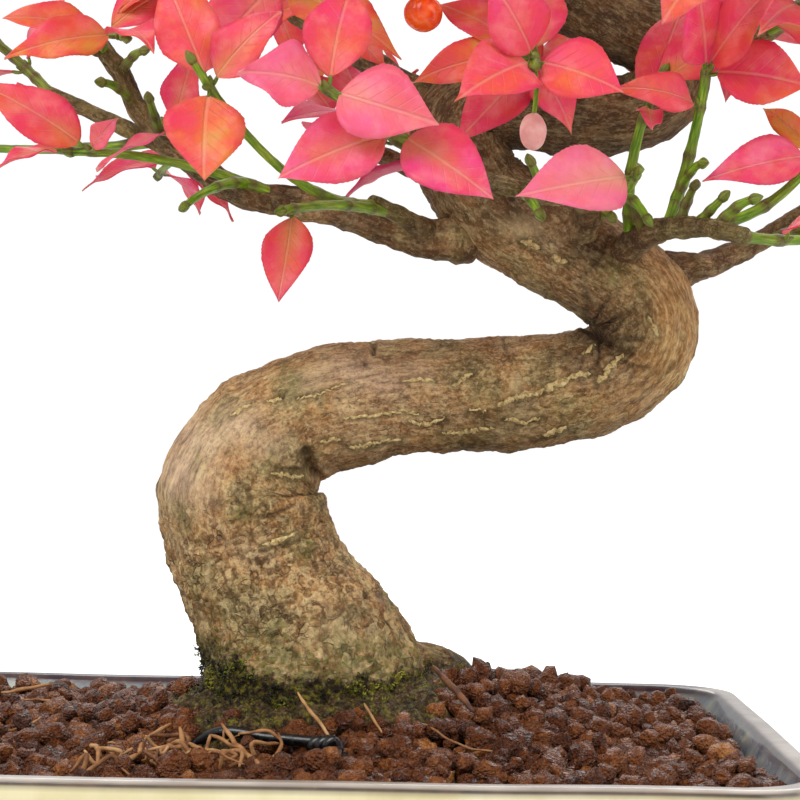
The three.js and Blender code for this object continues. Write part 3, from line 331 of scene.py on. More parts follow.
def make_piece(name: str, skin: Skin, materials: Sequence[bpy.types.Material],
               stands_for: Sequence[str] = ()) -> bpy.types.Object:
    """Writes a skin into a Blender object, and lets it ride in the frame.

    Args:
        name: The piece's name.
        skin: Its surface, in millimetres.
        materials: Its finishes, in the order of the faces' finish numbers.
        stands_for: The solids of the frame that it takes the place of.

    Returns:
        The new object, at the origin with its place in its mesh.
    """
    mesh = bpy.data.meshes.new(name)
    mesh.vertices.add(len(skin.points))
    mesh.vertices.foreach_set("co", (skin.points * MM + TRAY_MIDDLE).astype(np.float32).ravel())
    corners = skin.faces[skin.faces >= 0]
    sizes = np.sum(skin.faces >= 0, axis=1)
    mesh.loops.add(len(corners))
    mesh.loops.foreach_set("vertex_index", corners.astype(np.int32))
    mesh.polygons.add(len(sizes))
    mesh.polygons.foreach_set("loop_start", (np.cumsum(sizes) - sizes).astype(np.int32))
    if skin.finish is not None:
        mesh.polygons.foreach_set("material_index", skin.finish.astype(np.int32))
    mesh.update(calc_edges=True)
    mesh.shade_smooth()
    for value_name, numbers in skin.values.items():
        layer = mesh.attributes.new(value_name, "FLOAT", "POINT")
        layer.data.foreach_set("value", numbers.astype(np.float32))
    if skin.grain is not None:
        layer = mesh.attributes.new("grain", "FLOAT_VECTOR", "POINT")
        layer.data.foreach_set("vector", skin.grain.astype(np.float32).ravel())
    if skin.flat is not None:
        layer = mesh.uv_layers.new(name="surface")
        layer.data.foreach_set("uv", skin.flat[corners].astype(np.float32).ravel())
    for material in materials:
        mesh.materials.append(material)
    piece = bpy.data.objects.new(name, mesh)
    bpy.context.scene.collection.objects.link(piece)
    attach(piece, "root")
    if stands_for:
        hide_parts(*stands_for)
    LOG.info("%s: %d triangles", name, int(np.sum(sizes - 2)))
    return piece


def colour(code: str) -> tuple[float, float, float, float]:
    """A screen colour such as "a88352" as the linear red, green, blue and alpha of a shader."""
    channels = [int(code[i:i + 2], 16) / 255 for i in (0, 2, 4)]
    linear = [c / 12.92 if c <= 0.04045 else ((c + 0.055) / 1.055) ** 2.4 for c in channels]
    return (*linear, 1.0)


class Cells(Enum):
    """What a pattern of cells gives: the distance to their borders, or a shade for each."""

    BORDERS = ("DISTANCE_TO_EDGE", "Distance")
    SHADES = ("F1", "Color")


class Graph:
    """A node tree in the making. Each method adds a node and gives back what it puts out."""

    def __init__(self, tree: bpy.types.NodeTree) -> None:
        """Args: tree: The tree that the nodes go into."""
        self.tree = tree

    def add(self, kind: str, **settings: object) -> bpy.types.Node:
        """A new node of a kind, with its settings."""
        node = self.tree.nodes.new(kind)
        for name, value in settings.items():
            setattr(node, name, value)
        return node

    def feed(self, node: bpy.types.Node, sockets: dict[str | int, object]) -> bpy.types.Node:
        """Links a node's inputs to other outputs, or sets their values, and gives the node back."""
        for name, value in sockets.items():
            if isinstance(value, Socket):
                self.tree.links.new(value, node.inputs[name])
            else:
                node.inputs[name].default_value = value
        return node

    def place(self) -> Socket:
        """The place on the piece, in millimetres."""
        here = self.add("ShaderNodeTexCoord").outputs["Object"]
        scaled = self.add("ShaderNodeVectorMath", operation="SCALE")
        return self.feed(scaled, {0: here, "Scale": 1 / MM}).outputs[0]

    def attribute(self, name: str, output: str = "Fac") -> Socket:
        """A value that the piece carries."""
        return self.add("ShaderNodeAttribute", attribute_name=name).outputs[output]

    def noise(self, place: Socket, size: float, detail: float = 3, rough: float = 0.5) -> Socket:
        """Noise from 0 to 1, with lumps of a size in millimetres."""
        return self.feed(self.add("ShaderNodeTexNoise"), {
            "Vector": place, "Scale": 1 / size, "Detail": detail, "Roughness": rough}).outputs["Fac"]

    def cells(self, place: Socket, size: float, wanted: Cells) -> Socket:
        """A pattern of cells of a size in millimetres round scattered points."""
        feature, output = wanted.value
        return self.feed(self.add("ShaderNodeTexVoronoi", feature=feature),
                         {"Vector": place, "Scale": 1 / size}).outputs[output]

    def warped(self, place: Socket, size: float, reach: float) -> Socket:
        """The place, pushed about by noise of a size, up to a reach in millimetres."""
        push = self.feed(self.add("ShaderNodeTexNoise"), {"Vector": place, "Scale": 1 / size})
        shift = self.add("ShaderNodeVectorMath", operation="MULTIPLY_ADD")
        return self.feed(shift, {0: push.outputs["Color"], 1: (2 * reach,) * 3, 2: place}).outputs[0]

    def stretched(self, place: Socket, scale: tuple[float, float, float]) -> Socket:
        """The place, scaled along each axis."""
        return self.feed(self.add("ShaderNodeMapping"), {"Vector": place, "Scale": scale}).outputs[0]

    def ramp(self, value: Socket, stops: dict[float, str]) -> Socket:
        """A colour for each value, between stops of place and screen colour."""
        node = self.feed(self.add("ShaderNodeValToRGB"), {0: value})
        elements = node.color_ramp.elements
        while len(elements) < len(stops):
            elements.new(0.5)
        for element, (at, code) in zip(elements, stops.items()):
            element.position = at
            element.color = colour(code)
        return node.outputs["Color"]

    def lay(self, under: object, over: object, *shares: object) -> Socket:
        """One colour over another, by the product of some shares. Screen colours are given as text."""
        under, over = (colour(c) if isinstance(c, str) else c for c in (under, over))
        node = self.add("ShaderNodeMix", data_type="RGBA")
        return self.feed(node, {0: self.times(*shares), 6: under, 7: over}).outputs[2]

    def maths(self, operation: str, first: object, second: object = 0.0) -> Socket:
        """One sum on two values."""
        return self.feed(self.add("ShaderNodeMath", operation=operation), {0: first, 1: second}).outputs[0]

    def plus(self, *values: object) -> Socket:
        """The sum of several values."""
        return reduce(partial(self.maths, "ADD"), values)

    def times(self, *values: object) -> Socket:
        """The product of several values."""
        return reduce(partial(self.maths, "MULTIPLY"), values)

    def span(self, value: Socket, low: float, high: float, to_low: float = 0.0,
             to_high: float = 1.0) -> Socket:
        """A value between low and high, mapped between two others and held there."""
        return self.feed(self.add("ShaderNodeMapRange"),
                         {0: value, 1: low, 2: high, 3: to_low, 4: to_high}).outputs[0]

    def varied(self, name: str, place: Socket, size: float, reach: float, detail: float = 3,
               rough: float = 0.5) -> Socket:
        """A value that the piece carries, plus noise up to a reach on both sides."""
        stir = self.span(self.noise(place, size, detail, rough), 0.3, 0.7, -reach, reach)
        return self.plus(self.attribute(name), stir)

    def bump(self, height: Socket, depth: float, strength: float = 1.0) -> Socket:
        """A normal from a height of 0 to 1 that stands for a depth in millimetres."""
        return self.feed(self.add("ShaderNodeBump"), {
            "Height": height, "Distance": depth * MM, "Strength": strength}).outputs[0]


def shared_effect(name: str, numbers: Sequence[str], output: str, detail: float,
                  rough: float) -> tuple[Graph, bpy.types.Node, bpy.types.Node, Socket]:
    """A node group that starts with noise at the place and the fineness that it is given.

    Args:
        name: Its name.
        numbers: The names of its inputs past the place and the fineness.
        output: The name of its output.
        detail: The noise's detail.
        rough: The noise's roughness.

    Returns:
        Its graph, its input node, its output node and the noise.
    """
    tree = bpy.data.node_groups.new(name, "ShaderNodeTree")
    tree.interface.new_socket("Place", in_out="INPUT", socket_type="NodeSocketVector")
    for number in ("Fineness", *numbers):
        tree.interface.new_socket(number, in_out="INPUT", socket_type="NodeSocketFloat")
    tree.interface.new_socket(output, in_out="OUTPUT", socket_type="NodeSocketFloat")
    graph = Graph(tree)
    given, made = graph.add("NodeGroupInput"), graph.add("NodeGroupOutput")
    texture = graph.feed(graph.add("ShaderNodeTexNoise"), {
        "Vector": given.outputs["Place"], "Scale": given.outputs["Fineness"],
        "Detail": detail, "Roughness": rough})
    return graph, given, made, texture.outputs["Fac"]


def build_mottle() -> bpy.types.NodeTree:
    """A mask of soft blotches: noise of a size, sharpened between two limits."""
    graph, given, made, texture = shared_effect("mottle", ("Low", "High"), "Mask", 4, 0.6)
    limits = {0: texture, 1: given.outputs["Low"], 2: given.outputs["High"]}
    graph.feed(made, {"Mask": graph.feed(graph.add("ShaderNodeMapRange"), limits).outputs[0]})
    return graph.tree


def build_grit() -> bpy.types.NodeTree:
    """A fine uneven height: noise, with pits where scattered points lie close."""
    graph, given, made, texture = shared_effect("grit", ("Pits",), "Height", 5, 0.65)
    cells = graph.feed(graph.add("ShaderNodeTexVoronoi"), {
        "Vector": given.outputs["Place"], "Scale": given.outputs["Fineness"]})
    pits = graph.times(cells.outputs["Distance"], given.outputs["Pits"])
    graph.feed(made, {"Height": graph.plus(texture, pits)})
    return graph.tree


MOTTLE = build_mottle()
GRIT = build_grit()


def blotches(graph: Graph, place: Socket, size: float, low: float, high: float) -> Socket:
    """The shared blotches at a size in millimetres."""
    group = graph.add("ShaderNodeGroup", node_tree=MOTTLE)
    return graph.feed(group, {"Place": place, "Fineness": 1 / size, "Low": low, "High": high}).outputs[0]


def grit(graph: Graph, place: Socket, size: float, pits: float = 0.3) -> Socket:
    """The shared fine height at a size in millimetres."""
    group = graph.add("ShaderNodeGroup", node_tree=GRIT)
    return graph.feed(group, {"Place": place, "Fineness": 1 / size, "Pits": pits}).outputs[0]


class Finish:
    """A finish: a named material with a Principled shader. A subclass says what its sockets get."""

    name = "finish"

    def material(self) -> bpy.types.Material:
        """Builds the material."""
        material = bpy.data.materials.new(self.name)
        material.use_nodes = True
        graph = Graph(material.node_tree)
        graph.feed(material.node_tree.nodes["Principled BSDF"], self.sockets(graph, graph.place()))
        return material

    def sockets(self, graph: Graph, place: Socket) -> dict[str, object]:
        """The shader's sockets. Args: graph: The material's nodes. place: The place on the piece."""
        raise NotImplementedError


@dataclass(frozen=True)
class BarkFinish(Finish):
    """Bark: specked tan and brown in soft patches, flaky where it is rough, and wet below.

    It reads the point values smooth, tan, dusk, green, dark, pale, rust, moss, rough and young, and
    the grain. The smooth zone carries a painted sheen, the dusk zone is darker bark and painted
    shade, and dark is painted shade.
    """

    name: str = "bark"
    flake: float = 1.15
    relief: float = 0.45

    def zones(self, graph: Graph, place: Socket) -> Socket:
        """The soft ground colours: patches, then the smooth (painted sheen), tan, darker (painted shade),
        young and rusty zones.
        """
        soft = graph.noise(place, 12, rough=0.55)
        ground = graph.ramp(soft, {0.3: "7f6a40", 0.42: "ad8f5a", 0.5: "bb8850", 0.58: "b68b5e",
                                   0.7: "ccaa7c"})
        fine = graph.noise(place, 5, 4)
        for zone, codes in {
            # The smooth zone's light colours are partly a painted sheen; the dusk zone's dark ones are partly
            # painted shade.
            "smooth": ("b0927b", "cfae8d", "dfc29f"), "tan": ("83542c", "aa7a44", "c99b60"),
            "dusk": ("28150a", "462913", "684224"), "young": ("3d2e18", "625629", "8a7c44"),
        }.items():
            zone_colour = graph.ramp(fine, dict(zip((0.32, 0.5, 0.68), codes)))
            ground = graph.lay(ground, zone_colour, graph.attribute(zone))
        rusty = graph.plus(graph.attribute("rust"), graph.times(blotches(graph, place, 4.5, 0.6, 0.8), 0.5))
        return graph.lay(ground, "b0723c", graph.maths("MINIMUM", graph.times(rusty, 0.7), 0.6))

    @staticmethod
    def toned(graph: Graph, ground: Socket, value: Socket, share: Socket) -> Socket:
        """Darkens the ground by a share where a value is low, and lightens it where it is high."""
        ground = graph.lay(ground, "3b2513", graph.span(value, 0.51, 0.32), share)
        return graph.lay(ground, "e2ca96", graph.span(value, 0.53, 0.74), share)

    def sockets(self, graph: Graph, place: Socket) -> dict[str, object]:
        """Lays mottling, flakes and specks over the zones, then what grows on the bark."""
        grain = graph.attribute("grain", "Vector")
        rough, damp = graph.attribute("rough"), graph.attribute("moss")
        along = graph.stretched(grain, (1, 1, 0.72))
        bent = graph.warped(along, 2.4, 1.3)
        plain = graph.span(graph.attribute("dusk"), 0.3, 1, 1, 0.45)
        ground = self.zones(graph, place)
        mottle = graph.noise(along, 3.0, 6, 0.68)
        ground = self.toned(graph, ground, mottle, graph.times(plain, graph.span(rough, 0, 1, 0.25, 0.75)))
        streaks = graph.noise(graph.stretched(grain, (1, 1, 0.14)), 1.0, 4, 0.65)
        ground = self.toned(graph, ground, streaks, graph.times(plain, 0.5))
        flakes = graph.cells(bent, self.flake, Cells.SHADES)
        ground = self.toned(graph, ground, flakes, graph.times(plain, graph.span(rough, 0.2, 1, 0.0, 0.4)))
        border = graph.span(graph.cells(bent, self.flake, Cells.BORDERS), 0.1, 0.01)
        broken = graph.span(graph.noise(place, 4.2), 0.46, 0.62)
        chinks = graph.times(border, broken, graph.span(rough, 0.2, 0.9))
        ground = graph.lay(ground, "35231a", chinks, 0.7)
        specks = graph.noise(along, 0.62, 4, 0.75)
        ground = self.toned(graph, ground, specks, graph.times(plain, graph.span(rough, 0, 1, 0.5, 0.8)))
        ground = graph.lay(ground, "d8c391", graph.attribute("pale"))
        algae = graph.ramp(graph.noise(place, 1.4), {0.35: "3f4420", 0.65: "7f8240"})
        ground = graph.lay(ground, algae, graph.attribute("green"),
                           graph.span(graph.noise(place, 1.1, 5), 0.34, 0.6), 0.85)
        wet = graph.ramp(graph.noise(place, 1.5, 7, 0.74), {
            0.36: "0c0904", 0.45: "2c2010", 0.5: "4a3818", 0.55: "5c5a1a", 0.6: "948a28", 0.66: "7a5530",
            0.76: "c2a66c"})
        ragged = graph.span(graph.noise(place, 1.3, 5, 0.7), 0.35, 0.65, -0.45, 0.45)
        ground = graph.lay(ground, wet, graph.span(graph.plus(damp, ragged), 0.3, 0.75))
        film = graph.span(graph.noise(place, 0.9), 0.4, 0.6, -0.6, -0.2)
        raised = graph.plus(graph.times(specks, 0.8), mottle, streaks)
        flaky = graph.maths("SUBTRACT", raised, graph.times(chinks, 0.7))
        height = graph.plus(flaky, graph.times(damp, graph.noise(place, 1.1, 6, 0.8), 4.0))
        return {
            # The dark value lays painted shade: creases, folds, bends, seams and undersides darkened.
            "Base Color": graph.lay(ground, "24170d", graph.attribute("dark"), 0.85),
            "Roughness": graph.plus(graph.times(damp, film), 0.8),
            "Normal": graph.bump(height, self.relief, 0.9),
            "Specular IOR Level": 0.28,
        }


@dataclass(frozen=True)
class CorkFinish(Finish):
    """The raised corky lines of the bark: dry cream, with olive and brown breaks."""

    name: str = "cork"

    def sockets(self, graph: Graph, place: Socket) -> dict[str, object]:
        """Breaks the cream by fine noise."""
        return {
            "Base Color": graph.ramp(graph.noise(place, 0.9, 5, 0.7), {
                0.3: "6b5430", 0.42: "a58a55", 0.55: "cfb57c", 0.75: "ead7a4"}),
            "Normal": graph.bump(grit(graph, place, 0.35), 0.2),
            "Roughness": 0.85,
        }


@dataclass(frozen=True)
class TwigFinish(Finish):
    """Green young wood with pale lengthwise lines and brown nodes. It reads node and woody."""

    name: str = "green_wood"

    def sockets(self, graph: Graph, place: Socket) -> dict[str, object]:
        """Lays brown nodes and older wood over the green."""
        along = graph.stretched(graph.attribute("grain", "Vector"), (1, 1, 0.12))
        lines = graph.noise(along, 0.5)
        green = graph.ramp(lines, {0.3: "386604", 0.5: "6c9a0c", 0.7: "a6c838"})
        green = graph.lay(green, "94983a", blotches(graph, place, 7, 0.4, 0.65), 0.5)
        brown = graph.ramp(graph.noise(along, 0.9, 5), {0.3: "3b2818", 0.55: "6b5230", 0.75: "9a835a"})
        green = graph.lay(green, brown, graph.attribute("woody"))
        scar = graph.ramp(graph.noise(place, 0.6, 4), {0.35: "2e1e16", 0.6: "6d4434", 0.8: "a06a5c"})
        return {
            "Base Color": graph.lay(green, scar, graph.attribute("node")),
            "Normal": graph.bump(graph.plus(lines, grit(graph, place, 0.5)), 0.15),
            "Roughness": 0.42, "Specular IOR Level": 0.3,
        }


@dataclass(frozen=True)
class LeafFinish(Finish):
    """Autumn leaves: magenta to coral and orange, greener at the heart, with pale ribs.

    It reads tone, heart and fade, and the leaf's own map: x along the blade, y across it.
    """

    name: str = "leaf"
    side_ribs: float = 7.0

    def sockets(self, graph: Graph, place: Socket) -> dict[str, object]:
        """Colours the blade by its tone, then lays the ribs over it."""
        chart = graph.feed(graph.add("ShaderNodeSeparateXYZ"), {
            0: graph.add("ShaderNodeUVMap", uv_map="surface").outputs[0]})
        along, across = chart.outputs[0], chart.outputs[1]
        aside = graph.maths("ABSOLUTE", graph.maths("SUBTRACT", across, 0.5))
        blade = graph.ramp(graph.varied("tone", place, 6, 0.28, 4), {
            0.0: "e2407a", 0.22: "e03862", 0.46: "de4454", 0.66: "de5042", 0.84: "de6c38", 1.0: "cf8a38"})
        blade = graph.lay(blade, "f29a90", blotches(graph, place, 5.5, 0.45, 0.8), 0.55)
        blade = graph.lay(blade, "c2984a", graph.attribute("heart"), graph.span(aside, 0.3, 0.02),
                          graph.span(along, 1.0, 0.2), 0.65)
        blade = graph.lay(blade, "c62344", graph.span(aside, 0.25, 0.48, 0.0, 0.4))
        blade = graph.lay(blade, "8d2f24", blotches(graph, place, 0.8, 0.68, 0.76), 0.4)
        slant = graph.maths("SUBTRACT", graph.times(along, self.side_ribs), graph.times(aside, 5.0))
        between = graph.maths("PINGPONG", slant, 0.5)
        side_rib = graph.times(graph.span(between, 0.09, 0.0), graph.span(aside, 0.42, 0.1), 0.45)
        ribs = graph.maths("MAXIMUM", graph.span(aside, 0.035, 0.012), side_rib)
        blade = graph.lay(blade, "f0b08e", ribs, 0.26)
        height = graph.maths("SUBTRACT", graph.times(graph.noise(place, 0.8), 0.5), ribs)
        return {
            "Base Color": graph.lay(blade, "f0a9ae", graph.attribute("fade")),
            "Normal": graph.bump(height, 0.22),
            "Roughness": graph.span(graph.noise(place, 2.5), 0.3, 0.7, 0.36, 0.52),
            "Specular IOR Level": 0.22, "Subsurface Weight": 0.4,
            "Subsurface Radius": (1.0, 0.35, 0.3), "Subsurface Scale": 1.2 * MM,
        }


@dataclass(frozen=True)
class FruitFinish(Finish):
    """A smooth taut skin in one hue, a little uneven: the seed's coat or the capsule's lobes."""

    name: str = "seed_coat"
    dark: str = "d8300a"
    light: str = "ff6a1c"
    gloss: float = 0.16

    def sockets(self, graph: Graph, place: Socket) -> dict[str, object]:
        """Varies the hue softly."""
        return {
            "Base Color": graph.ramp(graph.noise(place, 3.2), {0.35: self.dark, 0.65: self.light}),
            "Normal": graph.bump(graph.noise(place, 0.7), 0.05),
            "Roughness": self.gloss, "Subsurface Weight": 0.3, "Subsurface Scale": 1.5 * MM,
        }


@dataclass(frozen=True)
class GrainFinish(Finish):
    """Wet fired clay granules, red brown with orange and dark ones, and a film of water.

    It reads tint, from 0, dark, to 1, orange.
    """

    name: str = "clay_granule"

    def sockets(self, graph: Graph, place: Socket) -> dict[str, object]:
        """Mottles each granule, and lets the water film come and go."""
        return {
            "Base Color": graph.ramp(graph.varied("tint", place, 1.2, 0.3, 5, 0.7), {
                0.0: "331508", 0.25: "562a12", 0.5: "77401d", 0.75: "9a5a2a", 1.0: "c48244"}),
            "Roughness": graph.span(graph.noise(place, 1.1, 4), 0.4, 0.6, 0.1, 0.3),
            "Normal": graph.bump(grit(graph, place, 0.62, 0.9), 1.0),
            "Specular IOR Level": 0.42,
        }


@dataclass(frozen=True)
class BedFinish(Finish):
    """The damp soil between and under the granules, nearly black as painted shade in the gaps."""

    name: str = "soil_bed"

    def sockets(self, graph: Graph, place: Socket) -> dict[str, object]:
        """Darkens the granules' colour, as painted shade."""
        return {
            "Base Color": graph.ramp(graph.noise(place, 2.2, 5),
                                     {0.3: "0f0603", 0.6: "261007", 0.8: "3d1c0d"}),
            "Normal": graph.bump(grit(graph, place, 1.6, 0.8), 1.2),
            "Roughness": 0.5,
        }


@dataclass(frozen=True)
class MossFinish(Finish):
    """Moss: black green to yellow green by its tint."""

    name: str = "moss"

    def sockets(self, graph: Graph, place: Socket) -> dict[str, object]:
        """Colours the fronds by tint and place."""
        return {
            "Base Color": graph.ramp(graph.varied("tint", place, 3.0, 0.2), {
                0.0: "080904", 0.3: "1b2009", 0.55: "39450f", 0.8: "757c1f", 1.0: "aaa53a"}),
            "Normal": graph.bump(graph.noise(place, 0.4), 0.1),
            "Roughness": 0.45, "Subsurface Weight": 0.1, "Subsurface Scale": 0.5 * MM,
        }


@dataclass(frozen=True)
class FibreFinish(Finish):
    """Dry root fibres: straw with brown ends. It reads tint."""

    name: str = "root_fibre"

    def sockets(self, graph: Graph, place: Socket) -> dict[str, object]:
        """Runs from brown to straw by tint."""
        return {
            "Base Color": graph.ramp(graph.varied("tint", place, 2.5, 0.25, 4), {
                0.0: "4d2813", 0.35: "85532a", 0.65: "b07f4c", 1.0: "d0a675"}),
            "Normal": graph.bump(grit(graph, place, 0.4), 0.12),
            "Roughness": 0.6,
        }


@dataclass(frozen=True)
class GlazeFinish(Finish):
    """The tray's glaze: cream, with blue grey inside as a painted reflection, thin and brown where it runs
    off edges, and darkened at the rim's inner edge and on the back rim as painted shade.

    It reads edge, inside, lip and bare, the last for the unglazed foot rings.
    """

    name: str = "glaze"

    def sockets(self, graph: Graph, place: Socket) -> dict[str, object]:
        """Lays the inside's painted reflection, the lip, and the broken edges with their painted shade over
        the cream.
        """
        flow = graph.noise(graph.stretched(place, (1, 1, 0.3)), 16, 4)
        cream = graph.ramp(flow, {0.3: "cfc392", 0.5: "dbd0a3", 0.7: "e7deb8"})
        drips = blotches(graph, graph.stretched(place, (1, 1, 0.2)), 4.0, 0.55, 0.8)
        cream = graph.lay(cream, "c8b585", drips, 0.3)
        # Painted reflection: the blue grey laid over the cream inside the tray.
        painted_reflection = graph.ramp(graph.noise(place, 9), {0.3: "55606f", 0.5: "7f8a90", 0.7: "a9ad8e"})
        body = graph.lay(cream, painted_reflection, graph.attribute("inside"))
        lip = graph.ramp(graph.noise(place, 12, 2), {0.35: "b3a89e", 0.65: "cfc6bb"})
        body = graph.lay(body, lip, graph.attribute("lip"))
        # The edge value: the glaze's thin brown edges, plus painted shade at the rim's inner edge and on the
        # back rim.
        brown = graph.ramp(graph.noise(place, 5), {0.35: "32222c", 0.65: "55403c"})
        body = graph.lay(body, brown, graph.attribute("edge"), graph.span(graph.noise(place, 6), 0.0, 0.35))
        clay = graph.ramp(graph.noise(place, 1.2, 5), {0.3: "6d4a34", 0.7: "93694b"})
        bare = graph.attribute("bare")
        return {
            "Base Color": graph.lay(body, clay, bare),
            "Roughness": graph.span(bare, 0, 1, 0.2, 0.8),
            "Normal": graph.bump(graph.noise(place, 5, 2), 0.25, 0.5),
            "Coat Weight": 0.35, "Coat Roughness": 0.06,
        }


@dataclass(frozen=True)
class PlasticFinish(Finish):
    """A dark plastic: the wire's coat or the drainage mesh, dusty in its fine scratches."""

    name: str = "wire_coat"
    base: str = "0c0c0d"
    worn: str = "2b2a28"
    gloss: float = 0.22

    def sockets(self, graph: Graph, place: Socket) -> dict[str, object]:
        """Scuffs the base colour in patches."""
        scuffs = blotches(graph, place, 1.4, 0.5, 0.8)
        return {
            "Base Color": graph.lay(self.base, self.worn, scuffs),
            "Roughness": graph.span(scuffs, 0, 1, self.gloss, self.gloss + 0.25),
            "Normal": graph.bump(graph.noise(place, 0.6), 0.03),
        }


def line_places(points: Array, shares: Array) -> tuple[Array, Array]:
    """A limb's smooth middle line, a centripetal Catmull-Rom curve, and its radius.

    Args:
        points: The limb's points [x, y, z, radius].
        shares: Places from 0 to 1 by the count of its points.

    Returns:
        The places (n, 3) and the radii (n,).
    """
    last = len(points) - 1
    at = np.clip(shares, 0, 1) * last
    before = np.minimum(at.astype(int), last - 1)
    part = at - before
    radius = points[before, 3] + (points[before + 1, 3] - points[before, 3]) * part
    ends = [2 * points[:1] - points[1:2], points, 2 * points[-1:] - points[-2:-1]]
    padded = np.concatenate(ends)[:, :3]
    p0, p1, p2, p3 = (padded[before + k] for k in range(4))
    d0, d1, d2 = (np.sum((b - a) ** 2, axis=1, keepdims=True) ** 0.25
                  for a, b in ((p0, p1), (p1, p2), (p2, p3)))
    leave = ((p1 - p0) / d0 - (p2 - p0) / (d0 + d1) + (p2 - p1) / d1) * d1
    reach = ((p2 - p1) / d1 - (p3 - p1) / (d1 + d2) + (p3 - p2) / d2) * d1
    t = part[:, None]
    place = (p1 + leave * t + (3 * (p2 - p1) - 2 * leave - reach) * t ** 2
             + (2 * (p1 - p2) + leave + reach) * t ** 3)
    return place, radius


def even_shares(points: Array, spacing: Array | float) -> Array:
    """Shares of a limb's line, from 0 to 1, whose distance apart follows a spacing.

    Args:
        points: The limb's points [x, y, z, radius].
        spacing: One spacing in millimetres, or one for each of 2,000 even shares.

    Returns:
        The shares.
    """
    fine = np.linspace(0, 1, 2000)
    place, _ = line_places(points, fine)
    steps = np.linalg.norm(np.diff(place, axis=0), axis=1)
    steps = steps / (spacing if np.isscalar(spacing) else spacing[1:])
    count = np.concatenate([[0], np.cumsum(steps)])
    return np.interp(np.linspace(0, count[-1], max(int(count[-1]), 3)), count, fine)


@dataclass
class LimbGrid:
    """A limb as rings of points, before its relief.

    Fields:
        points: Places (n, m, 3). out: Ways out of the wood (n, m, 3). arc: Length along (n,).
        angle: Angles round (m,). radius: Radii (n,).
        squeeze: How far inside a bend each point lies, 0 to 1 (n, m).
    """

    points: Array
    out: Array
    arc: Array
    angle: Array
    radius: Array
    squeeze: Array

    def grain(self) -> Array:
        """Places that follow the grain: round a rod of the limb's mean radius, and along it."""
        mean = float(self.radius.mean())
        shape = self.points.shape[:2]
        parts = (mean * np.cos(self.angle), mean * np.sin(self.angle), self.arc[:, None])
        return np.stack([np.broadcast_to(part, shape) for part in parts], axis=-1)


# A bend's inner face stops at this share of the way to the bend's centre.
BEND_SHARE = 0.93
# How many rings a fold in a bend is rounded over.
FOLD_RINGS = 8


def running_mean(values: Array, weights: Array) -> Array:
    """A weighted mean of each value and its neighbours along the first axis, with the ends repeated."""
    reach = len(weights) // 2
    padded = np.pad(values, [(reach, reach)] + [(0, 0)] * (values.ndim - 1), mode="edge")
    return sum(weight * padded[k:k + len(values)] for k, weight in enumerate(weights / weights.sum()))


def limb_grid(points: Array, shares: Array, sides: int, crowd: float = 0.0, flute: bool = False,
              toward: Sequence[float] = (0, 1, 0)) -> LimbGrid:
    """Rings round a limb's middle line.

    A ring's point is the middle plus the radius times cos(angle) along one axis across the limb and
    sin(angle) along the other. Inside a sharp bend the point stops short of the bend's centre, and
    the folds there are rounded.

    Args:
        points: The limb's points [x, y, z, radius].
        shares: Where the rings stand.
        sides: Points in a ring.
        crowd: How much closer the points stand on the front than on the back, from 0 to 1.
        flute: Whether the foot is fluted towards its roots, as the trunk's is.
        toward: The way of the ring's sine axis, as far as it lies across the limb.

    Returns:
        The grid.
    """
    middle, radius = line_places(points, shares)
    way = ways(middle)
    arc = lengths_along(middle)
    bend = np.gradient(unit(running_mean(way, np.hanning(9))), axis=0)
    bend = bend / np.maximum(np.gradient(arc), 1e-6)[:, None]
    curvature = np.linalg.norm(bend, axis=1)
    limit = BEND_SHARE / np.maximum(running_mean(curvature, np.ones(13)), 1e-4)
    across = unit(np.array(toward, float) - way * (way @ np.array(toward, float))[:, None])
    even = turns(sides)
    angle = even - crowd * np.cos(even)
    reach = np.broadcast_to(radius[:, None], (len(shares), sides))
    if flute:
        share = np.clip((78 - middle[:, 2:3]) / 30, 0, 1)
        reach = reach * (1 + share * (0.06 * np.cos(3 * angle + 0.6) + 0.04 * np.cos(5 * angle + 2.1)))
    out = spokes(np.cross(across, way), across, angle)
    offset = out * reach[..., None]
    inward = unit(bend)
    depth = np.sum(offset * inward[:, None], axis=-1)
    over = np.maximum(depth - limit[:, None], 0)
    squeeze = np.clip(depth * curvature[:, None], 0, 1)
    points = middle[:, None] + (offset - inward[:, None] * over[..., None])
    rounded = running_mean(points, np.hanning(2 * FOLD_RINGS + 1)[1:-1])
    points = points + (rounded - points) * smooth_step(squeeze, 0.45, 0.9)[..., None]
    return LimbGrid(points, out, arc, angle, radius, squeeze)


class Draws:
    """Repeatable draws: the state times 1664525 plus 1013904223, within 32 bits."""

    def __init__(self, seed: int) -> None:
        """Args: seed: The first state."""
        self.state = seed

    def draw(self, low: float, high: float) -> float:
        """The next value between two limits."""
        self.state = (self.state * 1664525 + 1013904223) & 0xFFFFFFFF
        return low + (high - low) * (self.state / 4294967296)


FOLD = 0.22
ARCH = 0.07


@dataclass
class Leaf:
    """A leaf's root, tip and width, with its own axes: along, across and out of its face."""

    at: float
    root: Array
    tip: Array
    width: float
    face: Array
    tone: float = 0.4

    def __post_init__(self) -> None:
        """Works out the axes."""
        self.length = float(np.linalg.norm(self.tip - self.root))
        self.way = (self.tip - self.root) / self.length
        self.normal = unit(self.face - self.way * float(self.face @ self.way))
        self.across = np.cross(self.normal, self.way)

    def places(self, along: Array, side: Array, half: float) -> Array:
        """Places on the blade: it arches by 4u(1 - u) and folds up on both sides of its rib."""
        rise = ARCH * self.length * 4 * along * (1 - along) + FOLD * np.abs(side) * half
        return (self.root + self.way * (self.length * along)[:, None]
                + self.across * (side * half)[:, None] + self.normal * rise[:, None])

    def samples(self) -> Array:
        """The eight places that stand for the blade when leaves are kept apart."""
        along = np.array([0.3, 0.5, 0.75, 1, 0.38, 0.38, 0.68, 0.68])
        side = np.array([0, 0, 0, 0, 0.8, -0.8, 0.8, -0.8])
        return self.places(along, side, self.width / 2)


